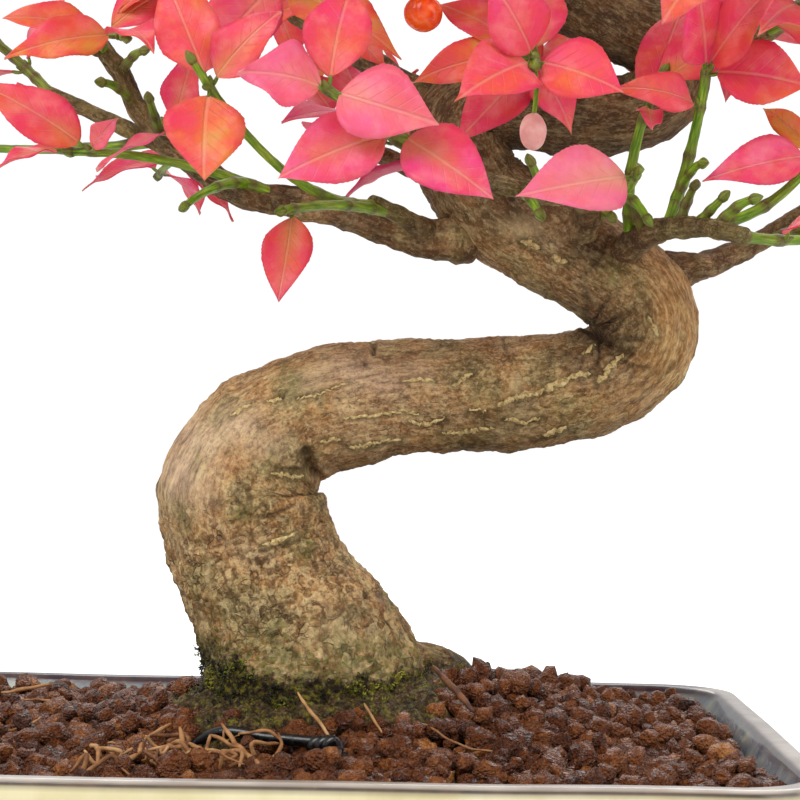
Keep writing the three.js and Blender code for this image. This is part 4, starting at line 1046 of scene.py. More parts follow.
@dataclass
class Shoot:
    """A green shoot: a bowed twig with its leaves, and perhaps a side twig and a fruit.

    A side twig is its place along the twig and its tip. A fruit is its place along the twig, its
    drop, its radius and how ripe it is, from 0 to 1.
    """

    foot: Array
    tip: Array
    bow: Array
    leaves: list[Leaf] = field(default_factory=list)
    side: tuple[float, Sequence[float]] | None = None
    fruit: tuple[float, float, float, float] | None = None

    def place(self, share: float) -> Array:
        """The twig's middle at a share of its length."""
        return self.foot * (1 - share) + self.tip * share + self.bow * (4 * share * (1 - share))

    def way(self, share: float) -> Array:
        """The twig's way at a share of its length."""
        return unit(self.tip - self.foot + self.bow * (4 * (1 - 2 * share)))

    def samples(self) -> Array:
        """The ten places that stand for the twig when shoots are kept apart."""
        return np.array([self.place(i / 10) for i in range(1, 11)])


def by_hand(foot: Sequence, tip: Sequence, bow: Sequence, *leaves: Sequence, **more: tuple) -> Shoot:
    """A shoot from plain numbers.

    Args:
        foot: Where it starts.
        tip: Where it ends.
        bow: How far its middle bows.
        leaves: Each leaf's place along the shoot, the x, y and z of its tip, its width, how many
            degrees its face turns from the sky towards the front, and its colour from 0 to 1.
        more: Its side twig or its fruit.

    Returns:
        The shoot.
    """
    shoot = Shoot(*(np.array(ends, float) for ends in (foot, tip, bow)), **more)
    for along, x, y, z, width, degrees, tone in leaves:
        turn = math.radians(degrees)
        face = np.array([0, -math.sin(turn), math.cos(turn)])
        shoot.leaves.append(Leaf(along, shoot.place(along), np.array([x, y, z], float), width, face, tone))
    return shoot


HAND_SHOOTS = [
    by_hand((-4, -2, 165.6), (-50, -6.5, 174.9), (0, -2.5, 2.4),
            (0.92, -71, -9, 190.5, 12, 72, 0.42), (0.92, -40.5, -12, 182, 5.5, 60, 0.2),
            side=(0.2, (-24.3, -21.5, 162.8))),
    by_hand((-20, 0.2, 170.4), (-29.5, -7, 180.5), (0, -1.5, 0),
            (0.92, -44, -14.5, 170.7, 5.4, 25, 0.15), (0.92, -23, -14, 197, 9.5, 60, 0.3)),
    by_hand((15.5, -20, 163.5), (-19, -70, 185.5), (0, 0, -7.5),
            (0.92, -17.6, -72.5, 163.3, 15.5, 82, 0.7), (0.92, -26, -62, 203, 12.5, 70, 0.6),
            (0.92, -3, -69, 196, 11, 60, 0.35)),
    by_hand((18, -17, 162.2), (-2.5, -51, 159.5), (0, -1, 1.2), (0.92, -1.8, -56.5, 142.2, 10, 84, 0.42)),
    by_hand((-33, 2.6, 178.4), (-77, 22, 178.5), (0, 0, -1),
            (0.5, -66, 19, 194, 10, 40, 0.2), (0.5, -70, 0, 171, 9, 30, 0.3),
            (0.92, -95, 30, 184, 10, 30, 0.3), (0.92, -90, 12, 171, 10, 30, 0.4)),
    by_hand((-25, 1, 173.8), (-36, 33, 174), (0, 0, 2),
            (0.45, -17, 24, 163.5, 8, 50, 0.2), (0.5, -53, 25, 171, 10, 30, 0.3),
            (0.92, -28, 52, 166, 10, 40, 0.3), (0.92, -52, 47, 177, 10, 30, 0.4)),
    by_hand((-45.4, 2, 198.3), (-35.5, -41, 194.5), (-2, 0, 2),
            (0.92, -59, -47, 189.6, 10.5, 62, 0.7), (0.92, -28, -60, 192, 10, 50, 0.5),
            (0.5, -63, -25, 201, 10, 50, 0.75), (0.5, -27, -19, 208, 10, 50, 0.5)),
    by_hand((36.8, -58.6, 165.4), (3, -70, 183), (3, -3, -3),
            (0.6, 37.5, -75, 160.5, 14, 75, 0.16), (0.6, -3, -75, 164.5, 14, 72, 0.24),
            (0.92, 26.5, -77, 172.5, 15, 72, 0.2), (0.92, -10, -75, 184.5, 13.5, 62, 0.12),
            (0.92, 9, -62, 202, 13, 60, 0.4)),
    by_hand((47.4, -30.2, 189), (45.5, -65, 187), (0, 0, 3),
            (0.92, 31, -79, 179.5, 14.5, 75, 0.46), (0.92, 62, -70, 182, 14, 72, 0.52),
            (0.92, 36, -72, 203, 13, 65, 0.3), (0.62, 48, -46, 208, 11, 50, 0.3),
            (0.62, 27, -44, 201, 12, 45, 0.6), (0.62, 22.2, -55, 186.5, 10, 60, 0.75),
            (0.32, 33, -43, 174, 11.5, 62, 0.3), (0.32, 55, -44, 177, 11, 62, 0.4),
            fruit=(0.9, 15.2, 2.6, 0)),
    by_hand((58.5, -22, 163.2), (65.5, -66, 167), (2, 0, -1), (0.92, 42.5, -78, 159.5, 15, 78, 0.02),
            side=(0.45, (69, -48, 160))),
    by_hand((69.5, -13.5, 156.3), (73.5, -33, 190), (-3.5, -8, 0),
            (0.92, 89, -26, 199, 12, 55, 0.5), (0.72, 81, -12, 209, 11, 50, 0.4),
            (0.8, 70, -43, 178, 5.5, 70, 0.4)),
    by_hand((75, -30, 158.4), (82, -38, 192.5), (1, -1.5, 0),
            (0.72, 63.5, -46, 187, 8, 68, 0.5), (0.92, 101.5, -44, 187, 14, 66, 0.42),
            (0.92, 77, -50, 207, 13.5, 60, 0.36), (0.92, 94, -54, 206, 12, 60, 0.5),
            side=(0.18, (80.5, -42, 171))),
    by_hand((80.8, -42.4, 158.4), (106, -37, 176), (1.5, 0, -3.5),
            (0.92, 81.5, -44, 167.5, 11, 66, 0.18), (0.92, 124, -49, 184, 11, 50, 0.6),
            (0.92, 116, -23, 188, 11, 45, 0.6), (0.92, 94, -31, 184, 6, 60, 0.95)),
    by_hand((84, -49.8, 157), (110, -33, 158), (0, 0, -1.5),
            (0.92, 128, -42, 162, 11, 45, 0.5), (0.92, 122, -15, 165, 11, 40, 0.5),
            (0.5, 108, -58, 163, 10, 45, 0.3)),
    by_hand((50.3, -17.5, 188.9), (20, -58, 213), (0, 0, 4),
            (0.92, -2.5, -67, 203, 12, 62, 0.72), (0.92, 32, -75, 216, 11.5, 50, 0.7),
            (0.55, 18, -28, 215, 10.5, 40, 0.7), fruit=(0.86, 13, 3.8, 1)),
    by_hand((8, 0.8, 199.8), (-6, -44, 205), (0, 0, 3),
            (0.92, 19.7, -56, 191.5, 14, 65, 0.78), (0.92, -18.5, -57, 187.5, 14.5, 72, 0.16),
            (0.92, -12, -64, 214, 11, 50, 0.5), (0.5, 17, -27, 191, 10.5, 50, 0.6),
            (0.5, -18, -25, 196, 10, 50, 0.6)),
    by_hand((92, 4.4, 200.7), (102, -34, 205), (0, 0, 2),
            (0.92, 90, -52, 196, 13, 65, 0.42), (0.92, 120, -46, 200, 12, 55, 0.5),
            (0.92, 106, -24, 225, 11, 60, 0.4), (0.5, 116, -16, 197, 11, 45, 0.5),
            (0.5, 86, -14, 214, 11, 45, 0.4)),
    by_hand((-12.5, -3.2, 212.2), (-30, -42, 209), (0, 0, 3),
            (0.92, -50, -50, 203, 12, 58, 0.68), (0.92, -27, -62, 221, 11, 50, 0.5),
            (0.5, -40, -22, 203, 11, 50, 0.6), (0.5, -5, -27, 216, 11, 45, 0.5)),
]


def twig_frame(way: Array) -> tuple[Array, Array]:
    """Two axes across a twig: a level one and one that rises."""
    level = unit(np.cross(way, UP if abs(way[2]) < 0.9 else np.array([1.0, 0, 0])))
    return level, np.cross(level, way)


def front_view(points: Array) -> tuple[Array, Array]:
    """Where places are seen from the photograph's eye, in the trunk's own plane."""
    share = -EYE[1] / (points[..., 1] - EYE[1])
    return EYE[0] + (points[..., 0] - EYE[0]) * share, EYE[2] + (points[..., 2] - EYE[2]) * share


class WoodField:
    """The straight pieces between the wood's points, for distances from its bark."""

    def __init__(self) -> None:
        """Gathers the trunk, the roots and the branches."""
        limbs = [TRUNK, *ROOTS, *BRANCHES.values()]
        self.start = np.concatenate([limb[:-1] for limb in limbs]).astype(float)
        self.end = np.concatenate([limb[1:] for limb in limbs]).astype(float)

    def distance(self, points: Array) -> Array:
        """How far places (n, 3) lie from the bark."""
        along = (self.end - self.start)[:, :3]
        gap = points[:, None] - self.start[None, :, :3]
        share = np.clip(np.sum(gap * along, axis=-1) / np.sum(along * along, axis=-1), 0, 1)
        radius = self.start[:, 3] + (self.end[:, 3] - self.start[:, 3]) * share
        near = gap - along[None] * share[..., None]
        return (np.linalg.norm(near, axis=-1) - radius).min(axis=1)


def apart(points: Array, others: Array, distance: float) -> bool:
    """Whether all of some points keep a distance from all of some others."""
    return bool(np.all(np.linalg.norm(points[:, None] - others[None], axis=-1) > distance))


@dataclass
class Growth:
    """The rule that sets shoots and leaves. It repeats the frame's rule draw by draw."""

    seed: int = 90317
    attempts: int = 14
    leaf_attempts: int = 6
    pairs: int = 3
    last_pair: float = 0.92
    spacing: float = 0.31
    shoot_length: tuple[float, float] = (27, 37)
    leaf_length: tuple[float, float] = (19, 25.5)
    width_share: tuple[float, float] = (0.5, 0.6)
    spread: tuple[float, float] = (42, 68)
    leaf_clear: float = 5.8
    own_clear: float = 2.6
    twig_clear: float = 3.4
    wood_clear: float = 3.2
    foot_free: float = 9
    fewest_leaves: int = 4
    open_front: tuple = (-68, 110, 30, 208)
    leafy_windows: tuple = ((-66, -38, 196, 208), (-34, 22, 197, 208), (-15, 38, 166, 197),
                            (30, 66, 182, 208), (72, 108, 190, 208))

    def __post_init__(self) -> None:
        """Starts with nothing grown."""
        self.wood = WoodField()
        self.draws = Draws(self.seed)
        self.shoots: list[Shoot] = []
        self.leaf_places: list[Array] = []
        self.twig_places: list[Array] = []

    def keep(self, shoot: Shoot) -> None:
        """Adds a shoot, and remembers where its leaves and its twig are."""
        self.shoots.append(shoot)
        self.leaf_places += [leaf.samples() for leaf in shoot.leaves]
        self.twig_places.append(shoot.samples())

    def blocks_front(self, points: Array) -> Array:
        """Which places would stand in the open part of the front view."""
        x, z = front_view(points)

        def within(window: Sequence[float]) -> Array:
            """Which of them lie in a window."""
            return (x > window[0]) & (x < window[1]) & (z > window[2]) & (z < window[3])

        leafy = np.any([within(window) for window in self.leafy_windows], axis=0)
        return within(self.open_front) & ~leafy

    def clear_of_others(self, points: Array, leaf_gap: float) -> bool:
        """Whether points keep clear of the leaves and the twigs of the shoots that are grown."""
        return (apart(points, np.concatenate(self.leaf_places), leaf_gap)
                and apart(points, np.concatenate(self.twig_places), self.twig_clear))

    def leaf_fits(self, leaf: Leaf, siblings: Sequence[Leaf]) -> bool:
        """Whether a leaf keeps clear of everything."""
        points = leaf.samples()
        if self.blocks_front(points).any() or not self.clear_of_others(points, self.leaf_clear):
            return False
        if not all(apart(points[1:], other.samples()[1:], self.own_clear) for other in siblings):
            return False
        return bool(np.all(self.wood.distance(points) > self.wood_clear))

    def twig_fits(self, shoot: Shoot) -> bool:
        """Whether a twig keeps clear of everything past its foot."""
        points = shoot.samples()
        late = np.arange(1, 11) > 6
        free = np.linalg.norm(points - shoot.foot, axis=1) >= self.foot_free
        points, late = points[free], late[free]
        if not len(points):
            return True
        if not self.clear_of_others(points, self.leaf_clear - 1):
            return False
        if np.any(self.wood.distance(points) < self.wood_clear - 1):
            return False
        return not bool(np.any(self.blocks_front(points) & late))

    def set_leaves(self, shoot: Shoot) -> None:
        """Leaves in opposite pairs, each pair a quarter turn round the twig from the last."""
        draw = self.draws.draw
        first_turn = draw(0, 180)
        for pair in range(self.pairs):
            share = self.last_pair - self.spacing * (self.pairs - 1 - pair)
            root, way = shoot.place(share), shoot.way(share)
            level, rise = twig_frame(way)
            for half in range(2):
                for _ in range(self.leaf_attempts):
                    around = math.radians(first_turn + 90 * pair + 180 * half + draw(-20, 20))
                    spread = math.radians(draw(*self.spread))
                    length = draw(*self.leaf_length)
                    width = length * draw(*self.width_share)
                    droop = draw(0, 0.35)
                    outward = level * math.cos(around) + rise * math.sin(around)
                    heading = way * math.cos(spread) + outward * math.sin(spread)
                    tip = root + unit(heading - UP * droop) * length
                    face = UP + way * 0.7 + np.array([draw(-0.3, 0.3), draw(-0.5, 0.1), 0])
                    leaf = Leaf(share, root, tip, width, face)
                    if self.leaf_fits(leaf, shoot.leaves):
                        shoot.leaves.append(leaf)
                        break

    def shoot_by_rule(self, points: Array, order: int) -> Shoot | None:
        """One shoot: from a branch's end it goes on outwards, further back it forks to a side."""
        share = 1 - 0.3 * order
        (foot, inner), _ = line_places(points, np.array([share, share - 0.1]))
        ahead = unit(foot - inner)
        side = unit(np.cross(UP, ahead))
        hand = 1 if order % 2 == 0 else -1
        draw = self.draws.draw
        for _ in range(self.attempts):
            turn = draw(-0.35, 0.35) if order == 0 else hand * draw(0.6, 1.5)
            lift = draw(0.05, 0.75)
            length = draw(*self.shoot_length)
            way = unit(ahead + side * turn + UP * lift)
            bow = np.array([draw(-2, 2), draw(-2, 2), draw(-3, 1)])
            shoot = Shoot(foot, foot + way * length, bow)
            if not self.twig_fits(shoot):
                continue
            self.set_leaves(shoot)
            if len(shoot.leaves) >= self.fewest_leaves:
                return shoot
        return None

    def grow(self) -> list[Shoot]:
        """All shoots of the tree: first those that are listed, then those of the rule."""
        for shoot in HAND_SHOOTS:
            self.keep(shoot)
        places = [(BRANCHES[name], order) for name, count in SHOOTS_BY_RULE for order in range(count)]
        places += [(TRUNK[-4:], order) for order in range(APEX_SHOOTS)]
        places += [(BRANCHES[name], order) for name, order in LATE_SHOOTS]
        tones = np.random.default_rng(self.seed)
        for number, (points, order) in enumerate(places):
            self.draws = Draws(self.seed + 7919 * number)
            shoot = self.shoot_by_rule(points, order)
            if shoot is None:
                continue
            if number % 9 == 3:
                shoot.fruit = (0.66, 9, 3.4, 1)
            middle = tones.uniform(0.12, 0.7)
            for leaf in shoot.leaves:
                leaf.tone = float(np.clip(middle + tones.normal(0, 0.12), 0, 1))
            self.keep(shoot)
        return self.shoots


@dataclass
class Foliage:
    """The leafy shoots: ridged twigs with nodes and buds, stalked and toothed leaves, fruits.

    The counts for blades are rings from stalk to tip, points across one face and teeth on an edge.
    """

    twig_radii: tuple[float, float] = (1.15, 0.8)
    twig_sides: int = 12
    stalk_share: float = 0.11
    thickness: float = 0.3
    fine_blade: tuple[int, int, int] = (49, 9, 24)
    plain_blade: tuple[int, int, int] = (31, 5, 15)
    seed: int = 311

    def __post_init__(self) -> None:
        """Starts the draws for what varies from leaf to leaf."""
        self.rng = np.random.default_rng(self.seed)

    def blades(self, leaves: Sequence[Leaf], rings: int, sides: int, teeth: int) -> Skin:
        """The blades of some leaves.

        A blade's ring runs over its upper face from one edge to the other and back underneath. Its
        half width is t^a (1 - t)^b, cut into forward teeth; it arches, folds, waves and curls.

        Args:
            leaves: The leaves.
            rings: Rings from the stalk to the tip.
            sides: Points across one face.
            teeth: Teeth on each edge.

        Returns:
            Their skin, with the values tone, heart and fade and the leaf's own map.
        """
        t = np.linspace(0, 1, rings)[None, :, None]
        side = np.linspace(-1, 1, sides)
        s = (np.sign(side) * np.abs(side) ** 0.9)[None, None]

        def drawn(low: float, high: float) -> Array:
            """One draw for each leaf."""
            return self.rng.uniform(low, high, (len(leaves), 1, 1))

        def each(name: str) -> Array:
            """One of the leaves' own fields."""
            return np.array([getattr(leaf, name) for leaf in leaves])[:, None, None]

        def both_faces(over: Array, under: Array) -> Array:
            """A ring's values: across the upper face and back across the lower one."""
            return np.concatenate([over, under[..., ::-1]], axis=-1)

        rise_power, fall_power = drawn(0.68, 0.92), drawn(1.1, 1.45)
        top_at = rise_power / (rise_power + fall_power)
        top = top_at ** rise_power * (1 - top_at) ** fall_power
        outline = t ** rise_power * (1 - t) ** fall_power / top
        tooth = (t * teeth) % 1.0 - 0.5
        outline = outline * (1 + 0.035 * tooth) + 0.012
        length, width, tone = each("length"), each("width"), each("tone")
        half = 0.5 * width * outline
        along = self.stalk_share + (1 - self.stalk_share) * t
        fold = np.sqrt(s * s + 0.02) - 0.14
        ripple = np.sin(2 * np.pi * (drawn(1.2, 2.6) * t + drawn(0, 1) + drawn(0.05, 0.3) * s))
        twist = drawn(-0.6, 0.6) * t
        wave = drawn(0.2, 0.75) * ripple * np.abs(s) ** 1.5 + s * half * np.sin(twist)
        curl = drawn(-0.13, 0.03) * length * t ** 2.5
        cup = drawn(0.85, 1.15)
        rise = cup * (ARCH * length * 4 * along * (1 - along) + FOLD * fold * half) + wave + curl
        rib = hill(s * half, 0.45)
        plump = self.thickness * (0.45 + 0.55 * (1 - np.abs(s)) + 0.5 * rib)
        height = both_faces(rise + plump / 2 - 0.12 * rib, rise - plump / 2)
        level = np.broadcast_to(s * half * np.cos(twist), rise.shape)
        level = both_faces(level, level)
        hook = drawn(-0.08, 0.08) * length * t ** 2
        points = (each("root") + each("way") * (length * along)[..., None]
                  + each("across") * (level + hook)[..., None] + each("normal") * height[..., None])
        shape = height.shape
        chart = np.stack([np.broadcast_to(t, shape), 0.5 + level / np.broadcast_to(width, shape)], axis=-1)
        tilt = drawn(-0.3, 0.3) * (t - 0.5)
        values = {
            "tone": tone + tilt + drawn(-0.12, 0.12) * both_faces(s, s),
            "heart": drawn(0.0, 1.0) ** 1.5,
            "fade": drawn(0.0, 0.3) * (tone < 0.3),
        }
        return tubes(points[:, :, ::-1], {name: np.broadcast_to(grid, shape)[:, :, ::-1]
                                          for name, grid in values.items()}, flat=chart[:, :, ::-1])

    def rod(self, line: Array, radius: Array, node: Array, woody: float, ridge: float = 0.1) -> Skin:
        """A twig or stalk: a four-ridged section carried along a line.

        Args:
            line: Its middle line (n, 3).
            radius: Its radius at each place (n,).
            node: How much of a node each place is, 0 to 1 (n,).
            woody: How old its skin is, 0 to 1.
            ridge: How high its four ridges stand, as a share of the radius.

        Returns:
            Its skin, with the values node and woody and the grain.
        """
        way = ways(line)
        level, _ = twig_frame(unit(way.mean(axis=0)))
        level = unit(level[None] - way * (way @ level)[:, None])
        angle = turns(self.twig_sides)
        out = spokes(level, -np.cross(level, way), angle)
        rings = line[:, None] + out * (radius[:, None] * (1 + ridge * np.cos(4 * angle)[None]))[..., None]
        rings = rings + out * (0.09 * noise(rings, 1.7, 3))[..., None]
        parts = (radius.mean() * np.cos(angle), radius.mean() * np.sin(angle),
                 lengths_along(line)[:, None] + 7 * line[0, 0])
        grain = np.stack([np.broadcast_to(part, rings.shape[:2]) for part in parts], axis=-1)
        return tube(rings, {"node": node[:, None], "woody": woody}, grain)

    def twig(self, shoot: Shoot, woody: float, rings: int = 44) -> Skin:
        """A shoot's own twig, swollen and scarred at its nodes, and ended by a bud."""
        share = np.linspace(0, 1, rings)
        line = np.array([shoot.place(s) for s in share])
        length = float(np.linalg.norm(shoot.tip - shoot.foot))
        nodes = sorted({leaf.at for leaf in shoot.leaves} | {at / (1 + length / 60) for at in (0.3, 0.7)})
        swell = np.max([hill((share - at) * length, 1.1) for at in nodes], axis=0)
        thick, thin = self.twig_radii
        radius = thick + (thin - thick) * share + 0.22 * swell
        bud_rise = np.array([0.4, 1.1, 1.9, 2.6, 3.1])
        line = np.concatenate([line, line[-1] + shoot.way(1.0) * bud_rise[:, None]])
        radius = np.concatenate([radius, [1.0, 1.12, 0.9, 0.5, 0.12]])
        node = np.concatenate([0.75 * swell, [0.8, 0.5, 0.4, 0.5, 0.6]])
        return self.rod(line, radius, node, woody)

    def stalks_and_buds(self, shoot: Shoot) -> list[Skin]:
        """Each leaf's stalk, out of the twig's skin into the blade's foot, with a bud in its axil."""
        skins = []
        share = np.linspace(0, 1, 6)[:, None]
        for leaf in shoot.leaves:
            end = leaf.places(np.array([self.stalk_share + 0.02]), np.array([0.0]), 0.0)[0]
            sag = leaf.normal * (-0.5 * np.sin(np.pi * share))
            line = leaf.root * (1 - share) + end * share + sag
            skins.append(self.rod(line, np.array([0.75, 0.5, 0.42, 0.4, 0.4, 0.3]),
                                  np.linspace(0.55, 0.2, 6), 0.25, 0.0))
            way = unit(leaf.way + 1.3 * shoot.way(leaf.at))
            bud = leaf.root + way * np.array([0.4, 0.9, 1.5, 2.1, 2.6])[:, None]
            skins.append(self.rod(bud, np.array([0.5, 0.72, 0.7, 0.42, 0.08]),
                                  np.array([0.8, 0.6, 0.5, 0.6, 0.7]), 0.3, 0.0))
        return skins

    def fruit(self, shoot: Shoot) -> tuple[Skin, ...]:
        """A fruit's stalk, its four-lobed capsule and its seed, or one drop while it is unripe."""
        share, drop, radius, ripe = shoot.fruit
        top = shoot.place(share)
        capsule = top - UP * (drop - radius * 1.6)
        seed = top - UP * drop
        along = np.linspace(0, 1, 9)[:, None]
        sway = np.array([0.5, 0.3, 0.0]) * np.sin(np.pi * along)
        stalk = self.rod(top * (1 - along) + capsule * along + sway, np.linspace(0.42, 0.5, 9),
                         np.full(9, 0.1), 0.1, 0.0)

        def turned(centre: Array, reach: float, tall: float, lobes: float, gap: float) -> Skin:
            """A ball round a centre: its radius is sin(u), with four lobes by cos(4 angle)."""
            u = np.linspace(0.02, np.pi - 0.02, 18)[:, None]
            angle = turns(32)
            wide = reach * np.sin(u) * (1 + lobes * (np.cos(4 * angle)[None] - 1) * np.sin(u) ** 0.5)
            rings = centre + np.stack([wide * np.cos(angle), wide * np.sin(angle),
                                       -np.cos(u) * reach * tall + 0 * wide], axis=-1)
            return tube(rings + 0.03 * reach * noise(rings, gap, 5)[..., None] * unit(rings - centre))

        if not ripe:
            return stalk, turned(seed + UP * 0.6 * radius, radius, 1.4, 0.05, 2.0)
        return stalk, turned(capsule, radius * 1.1, 0.62, 0.14, 1.2), turned(seed, radius, 0.97, 0.01, 2.0)

    def build(self, shoots: Sequence[Shoot], finishes: dict[str, bpy.types.Material]) -> None:
        """Makes one piece for each shoot.

        Args:
            shoots: The shoots, in the order of the frame's sprays.
            finishes: The finishes by name.
        """
        order = [finishes[name] for name in ("twig", "leaf", "capsule", "seed", "drop")]
        for number, shoot in enumerate(shoots):
            fine = number < len(HAND_SHOOTS)
            woody = 0.15 if fine else float(self.rng.uniform(0.1, 0.6))
            wood = [self.twig(shoot, woody), *self.stalks_and_buds(shoot)]
            if shoot.side is not None:
                start, tip = shoot.place(shoot.side[0]), np.array(shoot.side[1], float)
                spur = Shoot(start, tip, np.array([0, 0, 1.5]))
                wood.append(self.twig(spur, 0.0, 24))
            blades = self.blades(shoot.leaves, *(self.fine_blade if fine else self.plain_blade))
            skins = [skin.finished(0) for skin in wood] + [blades.finished(1)]
            if shoot.fruit is not None:
                hues = (0, 2, 3) if shoot.fruit[3] else (0, 4)
                skins += [skin.finished(hue) for skin, hue in zip(self.fruit(shoot), hues)]
            node = f"spray_{number + 1:02d}"
            make_piece(f"leafy_{node}", Skin.joined(skins), order, [node])
        bare = [Shoot(foot, tip, UP * self.rng.uniform(-1, 1)) for foot, tip in BARE_TWIGS]
        twigs = [self.twig(shoot, float(self.rng.uniform(0.1, 0.9)), 20).finished(0) for shoot in bare]
        make_piece("bare_twigs", Skin.joined(twigs), order)


# Marks on the bark's front: place and reach in the trunk's plane, and strength. The smooth marks
# are smoother bark with a painted sheen, the darker zone's marks are mostly painted shade, and the
# dark marks are painted shade.
MARKS = {
    # Smoother bark, lightened as a painted sheen.
    "smooth": (
        (-26, 106, 7, 9, 1.0), (-23, 113, 8, 7, 0.95), (-15.5, 116.5, 8, 5, 0.9), (-9, 113, 7, 5, 0.6),
        (3, 126.5, 7, 3.5, 0.6), (10, 129, 8, 4, 0.9), (17, 127, 7, 4, 0.8), (24, 128.5, 6, 4, 0.6),
    ),
    "tan": (
        (79, 142, 4.5, 12, 1.0), (76, 132, 4.5, 6, 0.9), (72, 126, 4, 3.5, 0.8),
    ),
    # Painted shade in the bends and under the limbs, with some darker bark.
    "dusk": (
        (20, 132, 16, 4, 0.45), (32, 132, 12, 4, 0.5), (59, 133, 6, 3.4, 0.85), (38, 113.5, 7, 2.2, 0.7),
        (30, 117, 4, 3, 0.5), (46, 166, 18, 10, 0.95), (62, 157, 10, 9, 0.95), (72, 140, 3, 8, 0.5),
        (64, 139, 9, 10, 1.0), (50, 119, 14, 3, 0.5), (6, 72, 5, 4, 0.4),
    ),
    "green": (
        (-3.1, 126.6, 3, 4, 0.8), (-7.8, 108.3, 1.6, 3, 0.9), (1.4, 90.6, 1.5, 5, 1.0),
        (-22.4, 81, 2.5, 5, 0.7), (-26.2, 96, 3, 4, 0.8), (-12.5, 97, 3.4, 2.4, 0.8),
        (-8.7, 68.7, 6, 3.5, 0.9), (6, 69, 7, 3, 0.6), (-18, 74, 4, 5, 0.6), (-23, 108, 1.8, 8, 0.4),
        (-18, 118, 3, 3, 0.5), (55, 122, 10, 2.5, 0.4), (68, 151, 5, 4, 0.6), (20, 71, 5, 4, 0.4),
        (40, 115, 10, 1.6, 0.5), (46, 120, 15, 4, 0.35),
    ),
    "rust": (
        (-15, 107, 4, 2.4, 0.6), (-8.5, 104, 3, 1.6, 0.7), (-18, 89, 2.5, 8, 0.5), (26, 75, 4.5, 7, 0.75),
        (22, 67, 6, 4, 0.55), (-18, 82, 3, 3, 0.6), (80, 154, 5, 3, 0.5), (3, 82, 9, 3, 0.4),
        (12, 116, 12, 3, 0.45),
    ),
    # Painted shade in pits, creases and notches.
    "dark": (
        (-18.3, 92, 0.9, 0.8, 0.9), (-18.8, 99.6, 1.1, 1.3, 0.7), (-26.2, 95.5, 1.5, 2, 0.5),
        (4.8, 99.1, 1.2, 0.8, 0.8), (13, 76, 5, 3, 0.5), (18, 79, 2.5, 2.5, 0.4),
        (13.2, 130.2, 0.7, 0.5, 0.8), (2, 108, 3, 3.5, 0.6), (62.5, 138.5, 3, 2.5, 0.7),
        (38, 118, 2.4, 2.4, 0.4),
    ),
    "pale": (
        (46.5, 126.5, 1.2, 2.4, 0.45), (47, 160.5, 4, 2.4, 0.45), (-20, 84, 0.8, 3, 0.6),
        (8, 72, 4, 4, 0.3), (12, 64, 2.4, 2, 0.5),
    ),
}

# Corky lines as they run over the front, [x, z] in the trunk's plane, with their half width.
CORK_LINES = (
    (0.3, ((21.4, 126.5), (24.9, 127.3), (28.6, 127.1))),
    (0.38, ((32.5, 125.9), (34.3, 127), (35.3, 128.1), (37.3, 128.8))),
    (0.6, ((42.4, 121.7), (45.9, 123.3), (49.4, 124.4), (52.2, 125.1), (54.8, 126.7), (58.7, 128.3),
           (62.6, 129.2))),
    (0.5, ((69.6, 133.3), (67.6, 131.7), (65.5, 128.4), (64, 126.6))),
    (0.42, ((30.5, 115.6), (35.8, 115.9), (39, 116.4), (41.9, 117.1))),
    (0.42, ((52, 115.3), (55, 116.2), (57.6, 117.3))),
    (0.5, ((47.1, 157.6), (49.5, 157.2), (51.2, 156.1))),
    (0.5, ((53.5, 154.6), (55.4, 153.8), (57.2, 153.4))),
    (0.35, ((60.6, 133.3), (62, 134.2), (63.6, 135.6))),
    (0.25, ((-1.7, 122.4), (2.6, 123.4), (5.9, 124.7), (9.8, 126.3))),
    (0.35, ((-8.1, 121.7), (-4.8, 122.6))),
    (0.38, ((4.1, 113.3), (6, 113.7), (8.3, 113.6))),
    (0.4, ((10.5, 112.1), (14.8, 112.7), (18.1, 113.6), (21.6, 114.1))),
    (0.3, ((8.6, 118.4), (14.7, 119), (21.5, 120.2), (25.4, 119.6))),
    (0.33, ((22.8, 118), (26.3, 117.4), (31.3, 118.8))),
    (0.35, ((-15.9, 118.5), (-13.3, 120.3), (-11.5, 120.9))),
    (0.3, ((74.8, 142), (76.3, 139.6), (77.2, 137.4))),
    (0.45, ((-8.6, 90.2), (-4.5, 91.5), (-1.2, 92.9))),
    (0.4, ((-6.5, 106.2), (-2.8, 105.2), (0.7, 105.7))),
    (0.3, ((44, 119), (48, 118.2), (52, 119.2))),
    (0.3, ((36, 121), (40, 120.4))),
)

# Cracks and folds over the front: half width, depth, and the line.
CREASES = (
    (0.5, 1.6, ((15.1, 136.6), (15.1, 132.6))),
    (0.9, 2.2, ((0.7, 111.1), (1.4, 107.6), (3.8, 105))),
    (0.7, 1.4, ((-5, 106.9), (-2, 106.5), (1.2, 106.9))),
    (0.9, 1.8, ((61.5, 139.6), (64.5, 137.1), (67.3, 135.1), (71, 133.8))),
    (0.5, 0.9, ((64, 137), (64.5, 133), (63.5, 130.5))),
    (0.45, 0.8, ((-9, 88.8), (-4.7, 90), (-0.3, 91.6))),
    (0.4, 0.7, ((-12.5, 97.5), (-9, 96), (-5, 97.4), (-2, 99))),
    (0.35, 0.6, ((43, 137), (43.6, 134.8), (45, 131.6))),
    (0.5, 0.8, ((66, 136), (70, 137.5), (74, 137))),
    (0.4, 0.6, ((66, 134.5), (71, 131), (75, 130.6))),
    (0.4, 0.6, ((67, 138), (70, 141.5), (72, 145))),
    (0.5, 0.9, ((31.4, 156.8), (30, 161.5), (31.5, 164))),
    (0.5, 0.8, ((60, 150), (64, 154), (66, 159))),
)

